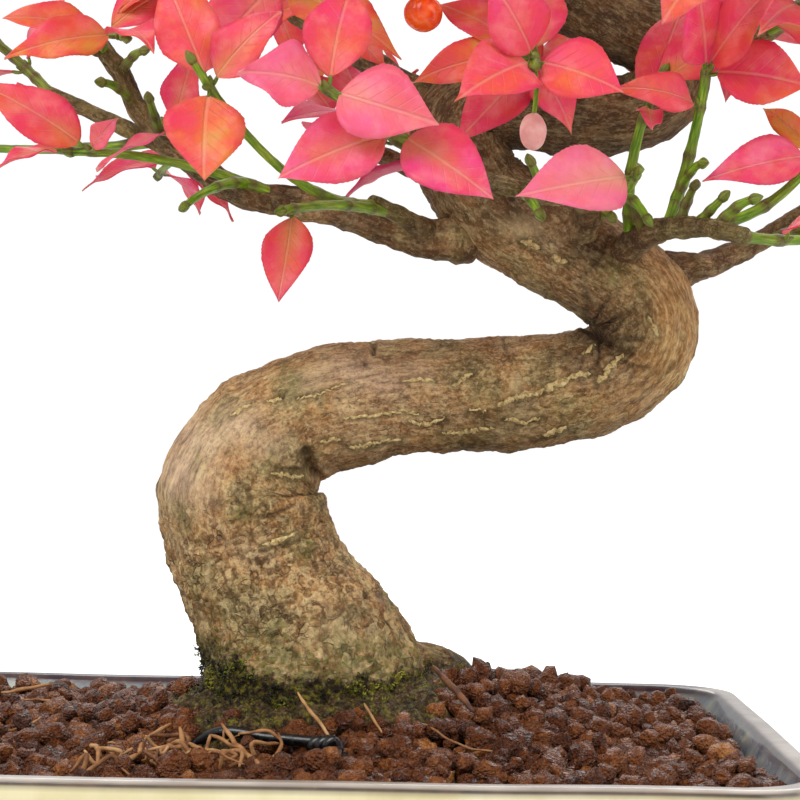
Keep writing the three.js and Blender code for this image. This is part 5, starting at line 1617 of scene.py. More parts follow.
# Dry fibres that the front shows: radius, tint, and the line.
FIBRES = (
    (0.55, 0.6, ((-66, 6, 56.5), (-60, 5, 57.5), (-55, 4, 58.6))),
    (0.5, 0.75, ((1, -30, 62), (3.2, -33, 59.5), (6, -36, 56.6), (8.2, -38, 53.5))),
    (0.4, 0.7, ((14.8, -30, 60), (16.5, -32, 57.6), (18.4, -35, 54.6))),
    (0.75, 0.55, ((-14, -40, 57), (-10, -46, 53.2), (-5.4, -54, 51), (-2.2, -60, 49.6))),
    (0.65, 0.6, ((-22, -42, 56), (-21, -46, 53.5), (-19.6, -53, 50.8))),
    (0.6, 0.5, ((-27.4, -44, 53), (-24.4, -47, 52), (-21.4, -45, 53.2))),
    (0.7, 0.65, ((-19.8, -44, 53.4), (-16, -50, 52), (-12, -58, 50.2))),
    (0.5, 0.6, ((-10.4, -42, 55), (-4, -43, 55.6), (-1.4, -44, 54.2))),
    (0.5, 0.5, ((-2, -42, 55.4), (-1.4, -46, 53), (-3.2, -50, 51.4))),
    (0.55, 0.5, ((-16, -40, 54.6), (-12.6, -44, 53.8), (-8.6, -48, 52.6))),
    (0.9, 0.12, ((29, -14, 66), (33, -20, 62.6), (37.4, -27, 58.4))),
    (0.45, 0.7, ((-30, -36, 52.6), (-27, -33, 54.6), (-25, -30, 55.4))),
)


@dataclass
class Wood:
    """The trunk with its roots and branches, as fine rings with relief and painted marks."""

    trunk_sides: int = 128
    fine_step: float = 0.5
    coarse_step: float = 0.92
    foot_step: float = 1.4
    fine_until: float = 27 / (len(TRUNK) - 1)
    foot_until: float = 1.5 / (len(TRUNK) - 1)
    crowd: float = 0.42
    branch_sides: int = 20
    branch_step: float = 0.95
    root_sides: int = 28
    root_step: float = 0.8
    knot: tuple[float, float] = (-11.6, 96.7)
    throat: tuple[float, float] = (61, 137)
    collar: tuple = ((31, 157), (36, 160), (40, 170))
    loose_corks: int = 70
    seed: int = 52

    @staticmethod
    def line_distance(x: Array, z: Array, line: Sequence[Sequence[float]]) -> Array:
        """The distance from places to a line of straight pieces."""
        nearest = np.full(x.shape, 1e9)
        for (ax, az), (bx, bz) in zip(line, line[1:]):
            dx, dz = bx - ax, bz - az
            share = np.clip(((x - ax) * dx + (z - az) * dz) / (dx * dx + dz * dz), 0, 1)
            nearest = np.minimum(nearest, np.hypot(x - ax - dx * share, z - az - dz * share))
        return nearest

    def trunk_grid(self) -> LimbGrid:
        """The trunk's rings, closer on what the bends show than towards the apex."""
        fine = np.linspace(0, 1, 2000)
        spacing = np.where(fine < self.fine_until, self.fine_step, self.coarse_step)
        spacing = np.where(fine < self.foot_until, self.foot_step, spacing)
        return limb_grid(TRUNK, even_shares(TRUNK, spacing), self.trunk_sides, self.crowd, flute=True)

    def trunk(self) -> tuple[Skin, LimbGrid, Array]:
        """The trunk's skin.

        The relief is broad lumps, flaky ridges along the grain where the bark is rough, wrinkles
        inside the bends, and the named creases and knots of the front, all along the way out. The marks
        include painted shade in the creases, folds, seams and bends, on the undersides and on the upper
        trunk, and a painted sheen on the smooth zones.

        Returns:
            The skin, its grid with the relief, and its moss on the grid.
        """
        grid = self.trunk_grid()
        base, out = grid.points, grid.out
        height, upper = base[..., 2], np.clip(out[..., 2], 0, 1)
        x, z = front_view(base)
        facing = smooth_step(-out[..., 1], 0.0, 0.35)
        grain = grid.grain()
        jitter = 0.8 * noise(base, 3.0, 11)
        masks: dict[str, Array] = {}

        def paint(kind: str, strength: Array) -> None:
            """Raises a mask to at least a strength."""
            masks[kind] = np.maximum(masks.get(kind, 0.0), strength)

        def rays_round(middle: tuple[float, float], count: float, stir: float, sharp: int,
                       noise_size: float, seed: int) -> tuple[Array, Array]:
            """Rays from a place: the power of a cosine of the angle round it. Also the distance to it."""
            swing = count * np.arctan2(z - middle[1], x - middle[0]) + stir * noise(base, noise_size, seed)
            return np.abs(np.cos(swing)) ** sharp, np.hypot(x - middle[0], z - middle[1])

        for kind, marks in MARKS.items():
            for at_x, at_z, wide, tall, strength in marks:
                spot = np.exp(-((x + jitter - at_x) / wide) ** 2 - ((z - jitter - at_z) / tall) ** 2)
                paint(kind, strength * spot * facing)
        # Painted sheen: the smooth colours on the upward faces of the sides and back.
        paint("smooth", (1 - facing) * smooth_step(upper, 0.3, 0.9) * 0.7
              * smooth_step(noise(base, 16, 4), -0.3, 0.4) * (height < 150))
        low = smooth_step(-height, -92, -70)
        # Painted shade: the upper trunk darkened under the crown.
        paint("dusk", 0.85 * smooth_step(height, 148, 172))
        paint("dusk", 0.75 * low * smooth_step(noise(base, 6, 23), 0.12, 0.5))
        paint("green", 0.7 * smooth_step(noise(base, 9, 21), 0.25, 0.6) * smooth_step(-height, -104, -70))
        paint("green", 0.8 * smooth_step(76 + 6 * noise(base, 6, 24) - height, 0, 9))
        # Painted shade on the undersides above 100 mm.
        paint("dark", 0.35 * smooth_step(-out[..., 2], 0.55, 1.0) * (height > 100))
        paint("rust", 0.8 * low * smooth_step(noise(base, 7, 22), 0.0, 0.5))
        rough = np.clip(1.1 - 1.05 * masks["smooth"] - 0.8 * masks["tan"], 0.1, 1)
        rough = rough * (0.6 + 0.4 * smooth_step(-height, -108, -80))
        relief = 0.75 * noise(base, 13, 1) + 0.42 * noise(base, 5.5, 2)
        seam = np.abs(noise(grain * np.array([1, 1, 0.75]), 3.8, 3))
        lumps = 1.1 * seam + 0.8 * np.abs(noise(base, 1.9, 5)) - 0.5
        relief += rough * (lumps + 0.3 * noise(base, 1.0, 6)) + 0.12 * noise(base, 2.4, 7)
        # Painted shade in the seams of the rough bark.
        paint("dark", 0.3 * rough * hill(seam, 0.05))
        wrinkle = np.sin(2 * np.pi * (grid.arc[:, None] / 2.1 + 0.9 * noise(base, 5, 8)))
        relief += 0.32 * smooth_step(grid.squeeze, 0.35, 0.95) * wrinkle
        # Painted shade inside the tight bends.
        paint("dark", 0.7 * smooth_step(grid.squeeze, 0.8, 1.0))
        for width, depth, line in CREASES:
            gap = self.line_distance(x + 0.5 * jitter, z + 0.4 * jitter, line)
            relief -= 0.75 * depth * hill(gap, width) * facing
            relief += 0.3 * depth * hill(gap - 2.2 * width, width) * facing
            # Painted shade in each crease.
            paint("dark", 0.6 * hill(gap, width) * facing)
        for width, line in CORK_LINES:
            gap = self.line_distance(x + 0.3 * jitter, z + 0.3 * jitter, line)
            near = hill(gap, width * 2.2) * facing
            # Beside each corky line: green algae, and a painted shadow through the dark value.
            paint("green", 0.45 * near)
            paint("dark", 0.55 * near)
            relief += 0.2 * near
        collar = hill(self.line_distance(x, z, self.collar), 6) * facing
        relief += collar * (0.9 * np.abs(noise(base, 4.5, 9)) + 0.2)
        rays, gap = rays_round(self.knot, 4.5, 0.8, 6, 3, 25)
        rays = rays * hill(gap - 3, 3) * facing
        relief += (0.9 * hill(gap - 3.2, 1.3) - 1.0 * hill(gap, 1.6)) * facing - 0.35 * rays
        folds, gap = rays_round(self.throat, 6, 0.9, 8, 4, 26)
        folds = folds * hill(gap - 8, 5) * facing * (x > 60)
        relief -= 0.45 * folds
        # Painted shade in the knot's rays and the throat's folds.
        paint("dark", 0.6 * np.maximum(rays, folds))
        moss = smooth_step(68 + 6 * noise(base, 8, 31) + 2.5 * noise(base, 3, 32)
                           + 4 * smooth_step(-base[..., 0], 0, 16) - height, 0, 8)
        relief += moss * (1.3 * np.abs(noise(base, 3, 33)) + 0.5 * np.abs(noise(base, 1.2, 34)) - 0.3)
        grid.points = base + out * relief[..., None]
        return tube(grid.points, {**masks, "rough": rough, "moss": moss}, grain), grid, moss

    def limb(self, points: Array, sides: int, step: float, seed: int, damp: bool) -> Skin:
        """A branch or a root: a lumpy, lengthwise streaked rod, greener where it is thin."""
        points = points.astype(float)
        way = unit(points[-1, :3] - points[0, :3])
        toward = (0, 1, 0) if abs(way[1]) < 0.75 else (0, 0, 1)
        grid = limb_grid(points, even_shares(points, step), sides, toward=toward)
        base = grid.points
        grain = grid.grain() + 40.0 * seed
        thick = np.clip(grid.radius / 4, 0.35, 1)[:, None]
        rings = hill((grid.arc[:, None] + 2.5 * noise(base, 20, seed)) % 11.0 - 5.5, 1.0)
        ridges = np.clip(1 - 2.4 * np.abs(noise(grain * np.array([1, 1, 0.35]), 1.6, seed + 2)), 0, 1)
        relief = thick * (0.5 * noise(base, 4.2, seed) + 0.3 * noise(base, 1.7, seed + 1)
                          + 0.2 * ridges + 0.35 * rings)
        base = base + grid.out * relief[..., None]
        values = {
            "young": 0.0 if damp else 0.8 * smooth_step(-grid.radius, -2.7, -1.6)[:, None],
            "dusk": 0.9 * smooth_step(noise(base, 9, seed), -0.9, 0.1),
            "green": 0.35 * smooth_step(noise(base, 7, seed + 3), 0.1, 0.5),
            "rough": 0.8 if damp else 0.55,
            "moss": 0.8 * smooth_step(66 + 4 * noise(base, 5, 32) - base[..., 2], 0, 4) if damp else 0.0,
        }
        return tube(base, values, grain)

    def corky_lines(self, grid: LimbGrid) -> Skin:
        """The raised corky lines: lumpy rods half sunk in the bark, over the front as they are seen
        there, and round the other sides by a seeded rule."""
        x, z = front_view(grid.points)
        front = grid.out[..., 1] < -0.1
        places, normals = grid.points[front], grid.out[front]
        seen = np.stack([x[front], z[front]], axis=1)
        rng = np.random.default_rng(self.seed)
        skins = []

        def rod(line: Array, out: Array, half: float) -> None:
            """One lumpy rod along a line on the bark, a little wider than it is thick."""
            ends = np.sin(np.pi * np.linspace(0.06, 0.94, len(line))) ** 0.4
            size = 1.2 * half * ends * rng.uniform(0.35, 1.3, len(line))
            way = unit(np.gradient(line, axis=0) + 1e-6)
            side = unit(np.cross(way, out))
            ring = spokes(side * 1.25, np.cross(side, way) * 0.8, turns(8))
            rings = (line - out * 0.12 * half)[:, None] + ring * size[:, None, None]
            skins.append(tube(rings[:, ::-1]))

        for half, line in CORK_LINES:
            marks = np.array(line)
            reach = lengths_along(marks)
            at = np.arange(0, reach[-1], 0.42)
            wanted = np.stack([np.interp(at, reach, marks[:, k]) for k in (0, 1)], axis=1)
            wanted += rng.normal(0, 0.16, wanted.shape)
            nearest = np.array([np.argmin(np.sum((seen - spot) ** 2, axis=1)) for spot in wanted])
            nearest = nearest[np.diff(nearest, prepend=-1) != 0]
            rod(places[nearest], normals[nearest], half)
        rings, sides = grid.points.shape[:2]
        for _ in range(self.loose_corks):
            start = int(rng.uniform(0.08, 0.85) * rings)
            column = rng.integers(sides)
            count = int(rng.uniform(12, 40))
            rows = np.arange(start, min(start + count, rings - 1))
            columns = (column + np.round(np.cumsum(rng.normal(0, 0.35, len(rows))))).astype(int) % sides
            if grid.out[rows, columns, 1].min() < 0.1 or grid.squeeze[rows, columns].max() > 0.5:
                continue
            rod(grid.points[rows, columns], grid.out[rows, columns], rng.uniform(0.25, 0.5))
        return Skin.joined(skins)

    def build(self, finishes: dict[str, bpy.types.Material]) -> tuple[LimbGrid, Array]:
        """Makes the wood's pieces.

        Args:
            finishes: The finishes by name.

        Returns:
            The trunk's grid and its moss on it, for what grows there.
        """
        skin, grid, moss = self.trunk()
        branches = [self.limb(points, self.branch_sides, self.branch_step, 60 + 5 * i, damp=False)
                    for i, points in enumerate(BRANCHES.values())]
        roots = [self.limb(root, self.root_sides, self.root_step, 200 + 5 * i, damp=True)
                 for i, root in enumerate(ROOTS)]
        for name, wood in {"trunk_bark": skin, "branches": Skin.joined(branches),
                           "surface_roots": Skin.joined(roots)}.items():
            make_piece(name, wood, [finishes["bark"]], ["trunk"])
        make_piece("corky_lines", self.corky_lines(grid), [finishes["cork"]])
        return grid, moss


# The soil's mounds: their middle, their reach along X and Y, and their rise over the edge.
MOUNDS = ((8, -2, 34, 25, 12.5), (50, 8, 21, 21, 7))
SOIL_EDGE = 47.6


def soil_height(x: Array, y: Array) -> Array:
    """The soil's height: its edge, plus a bell for each mound."""
    height = np.full(np.shape(x), SOIL_EDGE)
    for mound_x, mound_y, wide, deep, rise in MOUNDS:
        height = height + rise * np.exp(-((x - mound_x) / wide) ** 2 / 2 - ((y - mound_y) / deep) ** 2 / 2)
    return height


def at_height(outline: Array, z: float) -> Array:
    """An outline (n, 2) as places (n, 3) at one height."""
    return np.concatenate([outline, np.full((len(outline), 1), z)], axis=1)


def rounded_ring(half_length: float, half_depth: float, radius: float, steps: int, along: int = 1) -> Array:
    """A rectangle with round corners, to the left round its middle: (n, 2).

    Args:
        half_length: Half its size along X.
        half_depth: Half its size along Y.
        radius: Its corners' radius.
        steps: Steps round each corner.
        along: Steps along each straight side.

    Returns:
        Its points.
    """
    centres = [(sx * (half_length - radius), sy * (half_depth - radius))
               for sx, sy in ((1, 1), (-1, 1), (-1, -1), (1, -1))]
    arcs = []
    for quarter, centre in enumerate(centres):
        angle = np.pi / 2 * (quarter + np.linspace(0, 1, steps + 1))
        arcs.append(np.stack([centre[k] + radius * f(angle) for k, f in enumerate((np.cos, np.sin))], axis=1))
    share = np.linspace(0, 1, along + 1)[1:-1, None]
    sides = [arc[-1] * (1 - share) + after[0] * share for arc, after in zip(arcs, arcs[1:] + arcs[:1])]
    return np.concatenate([points for pair in zip(arcs, sides) for points in pair])


@dataclass
class Tray:
    """The glazed tray: one profile carried round a rounded rectangle, four feet and two holes."""

    length: float = 210
    depth: float = 165
    corner: float = 19
    outside: tuple = ((14, 5.2), (13, 6.2), (3.4, 42.5), (0.6, 46.4), (0, 48), (0, 51.1))
    rim: tuple = ((0.9, 52), (4.4, 52))
    inside: tuple = ((5.3, 51.2), (8.2, 46), (19, 16), (21, 13.6), (24, 13))
    # From where along Y the back rim's top gets painted shade.
    back_shade_span: tuple[float, float] = (71, 76)
    hole_x: float = 48
    hole_radius: float = 8
    foot_at: tuple[float, float] = (73, 54)
    foot_size: tuple = (17, 13, 5)
    foot_rows: tuple = ((0.0, -0.7), (0.25, -0.2), (0.8, 0.0), (7, 0.8))

    def ring(self, inset: float) -> Array:
        """The tray's outline, some way in from the rim's outer edge."""
        return rounded_ring(self.length / 2 - inset, self.depth / 2 - inset,
                            self.corner - 0.45 * inset, 14, 24)

    def profile(self) -> Array:
        """The wall's profile (inset, height), with each corner rounded by a short curve and the long
        stretches cut into steps."""
        points = np.array([*self.outside, *self.rim, *self.inside], float)
        rounded = [points[0]]
        for before, corner, after in zip(points, points[1:], points[2:]):
            reach = min(0.7, 0.4 * np.linalg.norm(corner - before), 0.4 * np.linalg.norm(after - corner))
            start = corner + unit(before - corner) * reach
            end = corner + unit(after - corner) * reach
            for t in (0, 0.33, 0.67, 1):
                rounded.append(start * (1 - t) ** 2 + corner * 2 * t * (1 - t) + end * t ** 2)
        rounded.append(points[-1])
        dense = [rounded[0]]
        for a, b in zip(rounded, rounded[1:]):
            steps = max(1, int(np.linalg.norm(b - a) / (0.7 if b[1] > 46 else 3)))
            dense += [a + (b - a) * (i + 1) / steps for i in range(steps)]
        return np.array(dense)

    def walls(self) -> Skin:
        """The wall and floor, with a hand-made unevenness of a few tenths of a millimetre."""
        profile = self.profile()
        rings = np.stack([at_height(self.ring(inset), z) for inset, z in profile])
        rings[..., 2] += 0.22 * noise(rings, 38, 3) * smooth_step(rings[..., 2], 20, 48)
        inset, height = profile[:, :1], profile[:, 1:]
        inner = (np.arange(len(profile)) > np.argmax(profile[:, 1]))[:, None]
        outer_edge = hill(np.hypot(inset - 0.1, height - 51.1), 0.6)
        # The rim's inner edge: thin glaze there, darkened further as painted shade under the lip.
        inner_edge = hill(np.hypot(inset - 5.2, height - 51.2), 1.1)
        # Painted shade: the back rim's top darkened, as it looks from the front.
        back_rim_shade = smooth_step(rings[..., 1], *self.back_shade_span) * (inset > 1.2) * (height > 50.5)
        return tube(rings, {
            "edge": np.clip(outer_edge + inner_edge + back_rim_shade, 0, 1),
            "lip": smooth_step(height, 51.1, 51.7),
            # Inside, a painted blue grey reflection goes over the cream glaze.
            "inside": inner & (inset > 4.9),
            "bare": height < 5.5,
        })

    def feet(self) -> list[Skin]:
        """Four low feet, wider towards the tray and rounded at the table."""
        half_length, half_depth, radius = self.foot_size
        bare = np.array([1.0, 1.0, 0.4, 0.0])[:, None]
        outlines = [rounded_ring(half_length + spread, half_depth + spread, radius + 0.5 * spread, 6)
                    for _, spread in self.foot_rows]
        return [tube(np.stack([at_height(outline + np.array(self.foot_at) * (side, end), z)
                               for outline, (z, _) in zip(outlines, self.foot_rows)]), {"bare": bare})
                for side in (-1, 1) for end in (-1, 1)]

    def build(self, finishes: dict[str, bpy.types.Material]) -> None:
        """Makes the tray and drills its two holes."""
        skin = Skin.joined([self.walls(), *self.feet()])
        tray = make_piece("glazed_tray", skin, [finishes["glaze"]], ["pot"])
        cutters = []
        for side in (-1, 1):
            angle = turns(48)
            circle = np.stack([side * self.hole_x + self.hole_radius * np.cos(angle),
                               self.hole_radius * np.sin(angle), 0 * angle], axis=1)
            drill = tube(np.stack([circle, circle + UP * 20]))
            cutter = bpy.data.objects.new("drill", bpy.data.meshes.new("drill"))
            faces = [[int(i) for i in face if i >= 0] for face in drill.faces]
            cutter.data.from_pydata((drill.points * MM + TRAY_MIDDLE).tolist(), [], faces)
            bpy.context.scene.collection.objects.link(cutter)
            modifier = tray.modifiers.new("hole", "BOOLEAN")
            modifier.object = cutter
            modifier.solver = "EXACT"
            cutters.append(cutter)
        evaluated = tray.evaluated_get(bpy.context.evaluated_depsgraph_get())
        drilled = bpy.data.meshes.new_from_object(evaluated)
        tray.modifiers.clear()
        tray.data = drilled
        for cutter in cutters:
            bpy.data.objects.remove(cutter)


@dataclass
class Soil:
    """The soil: a dark bed, wet clay granules over it, moss at the trunk's foot, dry fibres."""

    half: tuple[float, float] = (105, 82.5)
    inset: float = 9.0
    corner: float = 14
    pitch: float = 3.8
    radius: tuple[float, float] = (1.75, 3.0)
    fine_until: float = -2.0
    loose: int = 460
    tufts: int = 330
    fronds: int = 11
    tangled: int = 26
    scattered: int = 16
    fibre_reach: tuple[float, float] = (90, 68)
    seed: int = 8080
    wire_run: tuple = ((9, -41), (5.5, -41), (-4, -38.5), (-15, -34.5), (-22, -30))

    def __post_init__(self) -> None:
        """Starts the draws."""
        self.rng = np.random.default_rng(self.seed)
        self.wood = WoodField()

    def bed(self) -> Skin:
        """The bed: outlines of the tray's inside drawn in towards the middle, then down and under."""
        outline = rounded_ring(self.half[0] - self.inset, self.half[1] - self.inset, self.corner, 10, 20)
        top = np.stack([at_height(outline * share, 0) for share in np.linspace(0.02, 1, 34)])
        top[..., 2] = soil_height(top[..., 0], top[..., 1]) - 1.9 + 0.8 * noise(top, 4.5, 2)
        deep = np.stack([at_height(outline * share, z)
                         for share, z in ((0.985, 36), (0.9, 16), (0.86, 14.9), (0.02, 14.9))])
        return tube(np.concatenate([top, deep])[::-1])

    def spots(self) -> Array:
        """Where the granules lie, (n, 3): a jittered net of triangles over the bed, then loose ones."""
        half = np.array(self.half)
        columns = np.arange(-half[0], half[0], self.pitch)
        rows = np.arange(-half[1], half[1], self.pitch * 0.87)
        x, y = np.meshgrid(columns, rows)
        x = x + (np.arange(len(rows)) % 2)[:, None] * self.pitch / 2
        flat = np.stack([x.ravel(), y.ravel()], axis=1)
        flat += self.rng.uniform(-0.26, 0.26, flat.shape) * self.pitch
        flat = np.concatenate([flat, self.rng.uniform((-92, -70), (92, 70), (self.loose, 2))])
        rise = self.rng.uniform(-0.7, 0.9, len(flat))
        rise[-self.loose:] += 2.5
        to_wire = Wood.line_distance(flat[:, 0], flat[:, 1] + 2.5, self.wire_run)
        rise -= 1.8 * hill(to_wire, 5)
        spots = np.column_stack([flat, soil_height(flat[:, 0], flat[:, 1]) + rise])
        past_corner = np.maximum(np.abs(flat) - (half - self.inset - self.corner), 0)
        inside = np.linalg.norm(past_corner, axis=1) < 12.2
        clear = self.wood.distance(spots) > 0.4
        bare = (self.cover(spots) < 0.5) | (self.rng.random(len(spots)) < 0.22)
        return spots[inside & clear & bare & (to_wire > 3.4)]

    def cover(self, places: Array) -> Array:
        """How far the mossy crust covers places near the soil's face, 0 to 1: close to the wood and
        round the trunk's foot, with a ragged edge."""
        gap = self.wood.distance(places.reshape(-1, 3)).reshape(places.shape[:-1])
        reach = np.hypot(places[..., 0] - 6, places[..., 1])
        return (smooth_step(8 + 5 * noise(places, 9, 40) - gap, 0, 4)
                * smooth_step(43 + 4 * noise(places, 7, 44) - reach, 0, 6))

    def crust(self) -> Skin:
        """The mossy crust: rings round the trunk's foot, lumpy on top, that sink under the granules."""
        angle = turns(250)
        reach = np.linspace(13, 46, 56)[:, None]
        x, y = 6 + reach * np.cos(angle), reach * np.sin(angle)
        places = np.stack([x, y, soil_height(x, y)], axis=-1)
        cover = self.cover(places)
        lumps = (2.4 * np.abs(noise(places, 5.5, 41)) + 1.8 * np.abs(noise(places, 2.4, 42))
                 + 0.7 * noise(places, 1.2, 43))
        places[..., 2] += cover * (1.5 + lumps) - 3 * (1 - cover)
        rings = np.concatenate([places, places[-1:] - UP * 3])[::-1]
        return tube(rings, {"moss": 0.6, "rough": 1.0, "dusk": 1.0}, rings)

    def granules(self, spots: Array) -> Skin:
        """Granules at their spots.

        Each is a ball whose points are pushed by noise, then flattened where they pass six random
        planes, stretched and turned.

        Args:
            spots: Their middles (n, 3).

        Returns:
            One skin with the value tint.
        """
        ball = bmesh.new()
        bmesh.ops.create_icosphere(ball, subdivisions=2, radius=1.0)
        way = np.array([vert.co[:] for vert in ball.verts])
        corners = np.array([[vert.index for vert in face.verts] + [-1] for face in ball.faces])
        ball.free()
        count = len(spots)
        shift = self.rng.uniform(0, 500, (count, 1, 3))
        shape = way[None] * (1 + 0.42 * noise(way[None] + shift, 0.9, 1)
                             + 0.36 * noise(way[None] + shift, 0.42, 2))[..., None]
        for _ in range(6):
            plane = unit(self.rng.normal(size=(count, 1, 3)))
            limit = self.rng.uniform(0.7, 1.0, (count, 1))
            over = np.maximum(np.sum(shape * plane, axis=-1) - limit, 0)
            shape = shape - plane * (0.8 * over)[..., None]
        shape = shape * self.rng.uniform(0.78, 1.22, (count, 1, 3))
        turn = np.linalg.qr(self.rng.normal(size=(count, 3, 3)))[0]
        turn = turn * np.sign(np.linalg.det(turn))[:, None, None]
        size = self.rng.uniform(*self.radius, count) * self.rng.choice([1.0, 1.0, 0.72], count)
        points = spots[:, None] + np.einsum("nij,nvj->nvi", turn, shape) * size[:, None, None]
        tint = np.clip(self.rng.normal(0.45, 0.12, count) + (self.rng.random(count) < 0.04) * 0.3, 0, 1)
        faces = copies(corners, count, len(way))
        return Skin(points.reshape(-1, 3), faces, {"tint": np.repeat(tint, len(way))})

    def moss(self, grid: LimbGrid, damp: Array, crust: Skin) -> Skin:
        """Moss: tufts of thin three-sided spikes on the trunk's foot and on the crust round it."""
        rows, columns = np.nonzero((damp > 0.6) & (grid.points[..., 2] > 49)
                                   & (noise(grid.points, 5, 47) > -0.05))
        pick = self.rng.choice(len(rows), self.tufts)
        on_bark = grid.points[rows[pick], columns[pick]]
        bark_out = grid.out[rows[pick], columns[pick]]
        on_soil = crust.points[self.rng.choice(len(crust.points), 2 * self.tufts)]
        mossy = (self.cover(on_soil) > 0.7) & (noise(on_soil, 5, 47) > 0.0)
        on_soil = on_soil[mossy & (self.wood.distance(on_soil) > -0.5)]
        feet = np.repeat(np.concatenate([on_bark, on_soil]), self.fronds, axis=0)
        out = np.concatenate([bark_out, np.tile(UP, (len(on_soil), 1))])
        feet = feet + self.rng.normal(0, 0.6, feet.shape)
        out = unit(np.repeat(out, self.fronds, axis=0) + UP * 0.35 + self.rng.normal(0, 0.45, feet.shape))
        tall = self.rng.uniform(0.25, 0.8, len(feet))
        side = unit(np.cross(out, self.rng.normal(size=feet.shape)))
        ring = spokes(side, np.cross(out, side), turns(3))
        base = feet[:, None] - out[:, None] * 0.3
        wide = self.rng.uniform(0.16, 0.28, len(feet))[:, None, None]
        tip = feet + out * tall[:, None]
        points = np.concatenate([base + ring * wide, tip[:, None]], axis=1)
        spike = np.array([[0, 2, 1, -1], [0, 1, 3, -1], [1, 2, 3, -1], [2, 0, 3, -1]])
        bright = 0.45 + 0.9 * noise(feet, 4, 9) + 0.25 * smooth_step(feet[:, 0], 8, 26)
        tint = np.clip(bright + self.rng.normal(0, 0.12, len(feet)), 0, 1)
        return Skin(points.reshape(-1, 3), copies(spike, len(feet), 4), {"tint": np.repeat(tint, 4)})

    def fibre(self, line: Sequence[Sequence[float]], radius: float, tint: float) -> Skin:
        """A dry root fibre along a line of points, thinner at its ends."""
        marks = np.array([[*point, radius] for point in line], float)
        shares = np.linspace(0, 1, 8 * len(line))
        middle, _ = line_places(marks, shares)
        middle = middle + 0.35 * np.stack([noise(middle, 4, k) for k in (1, 2, 3)], axis=1)
        way = ways(middle)
        side = unit(np.cross(way, UP + 0.01))
        size = radius * (0.45 + 0.55 * np.sin(np.pi * shares) ** 0.5) * (1 + 0.25 * noise(middle, 1.6, 4))
        ring = spokes(side, -np.cross(side, way), turns(7))
        return tube(middle[:, None] + ring * size[:, None, None], {"tint": tint})

    def fibres(self) -> Skin:
        """The fibres that the front shows, and more by rule round the tray."""
        skins = [self.fibre(line, 0.78 * radius, tint) for radius, tint, line in FIBRES]

        def lay(x: Array, y: Array, over: Array, thinnest: float, thickest: float) -> None:
            """A fibre over the soil along some places, where it keeps clear of the wood and the tray."""
            line = np.column_stack([x, y, soil_height(x, y) + over])
            if self.wood.distance(line).min() > 1 and np.all(np.abs(line[:, :2]) < self.fibre_reach):
                radius = self.rng.uniform(thinnest, thickest)
                skins.append(self.fibre(line, radius, self.rng.uniform(0.2, 0.75)))

        for _ in range(self.tangled):
            start = self.rng.uniform((-34, -60), (-6, -42))
            steps = np.cumsum(self.rng.normal(0, 2.6, (5, 2)), axis=0) + start
            lay(steps[:, 0], steps[:, 1], self.rng.uniform(1.2, 5.4, 5), 0.28, 0.58)
        for _ in range(self.scattered):
            x, y = self.rng.uniform((-80, -60), (85, 62))
            turn = self.rng.uniform(0, 2 * np.pi)
            steps = np.cumsum(self.rng.uniform(3, 7, 4))
            bend = turn + self.rng.uniform(-0.05, 0.05) * steps
            lay(x + steps * np.cos(bend), y + steps * np.sin(bend), self.rng.uniform(2.2, 3.6, 4), 0.2, 0.4)
        return Skin.joined(skins)

    def build(self, grid: LimbGrid, damp: Array, finishes: dict[str, bpy.types.Material]) -> None:
        """Makes the soil's pieces.

        Args:
            grid: The trunk's grid, for the moss.
            damp: Where the trunk is mossy.
            finishes: The finishes by name.
        """
        # The bed's near-black finish is painted shade in the gaps between the granules.
        make_piece("soil_bed", self.bed(), [finishes["bed"]], ["soil"])
        spots = self.spots()
        near, left = spots[:, 1] < self.fine_until, spots[:, 0] < 0
        for name, chosen in {"front_left": near & left, "front_right": near & ~left, "back": ~near}.items():
            grains = self.granules(spots[chosen])
            make_piece(f"granules_{name}", grains, [finishes["grain"]], ["soil"])
        crust = self.crust()
        make_piece("mossy_crust", crust, [finishes["bark"]], ["soil"])
        make_piece("moss", self.moss(grid, damp, crust), [finishes["moss"]])
        make_piece("root_fibres", self.fibres(), [finishes["fibre"]])


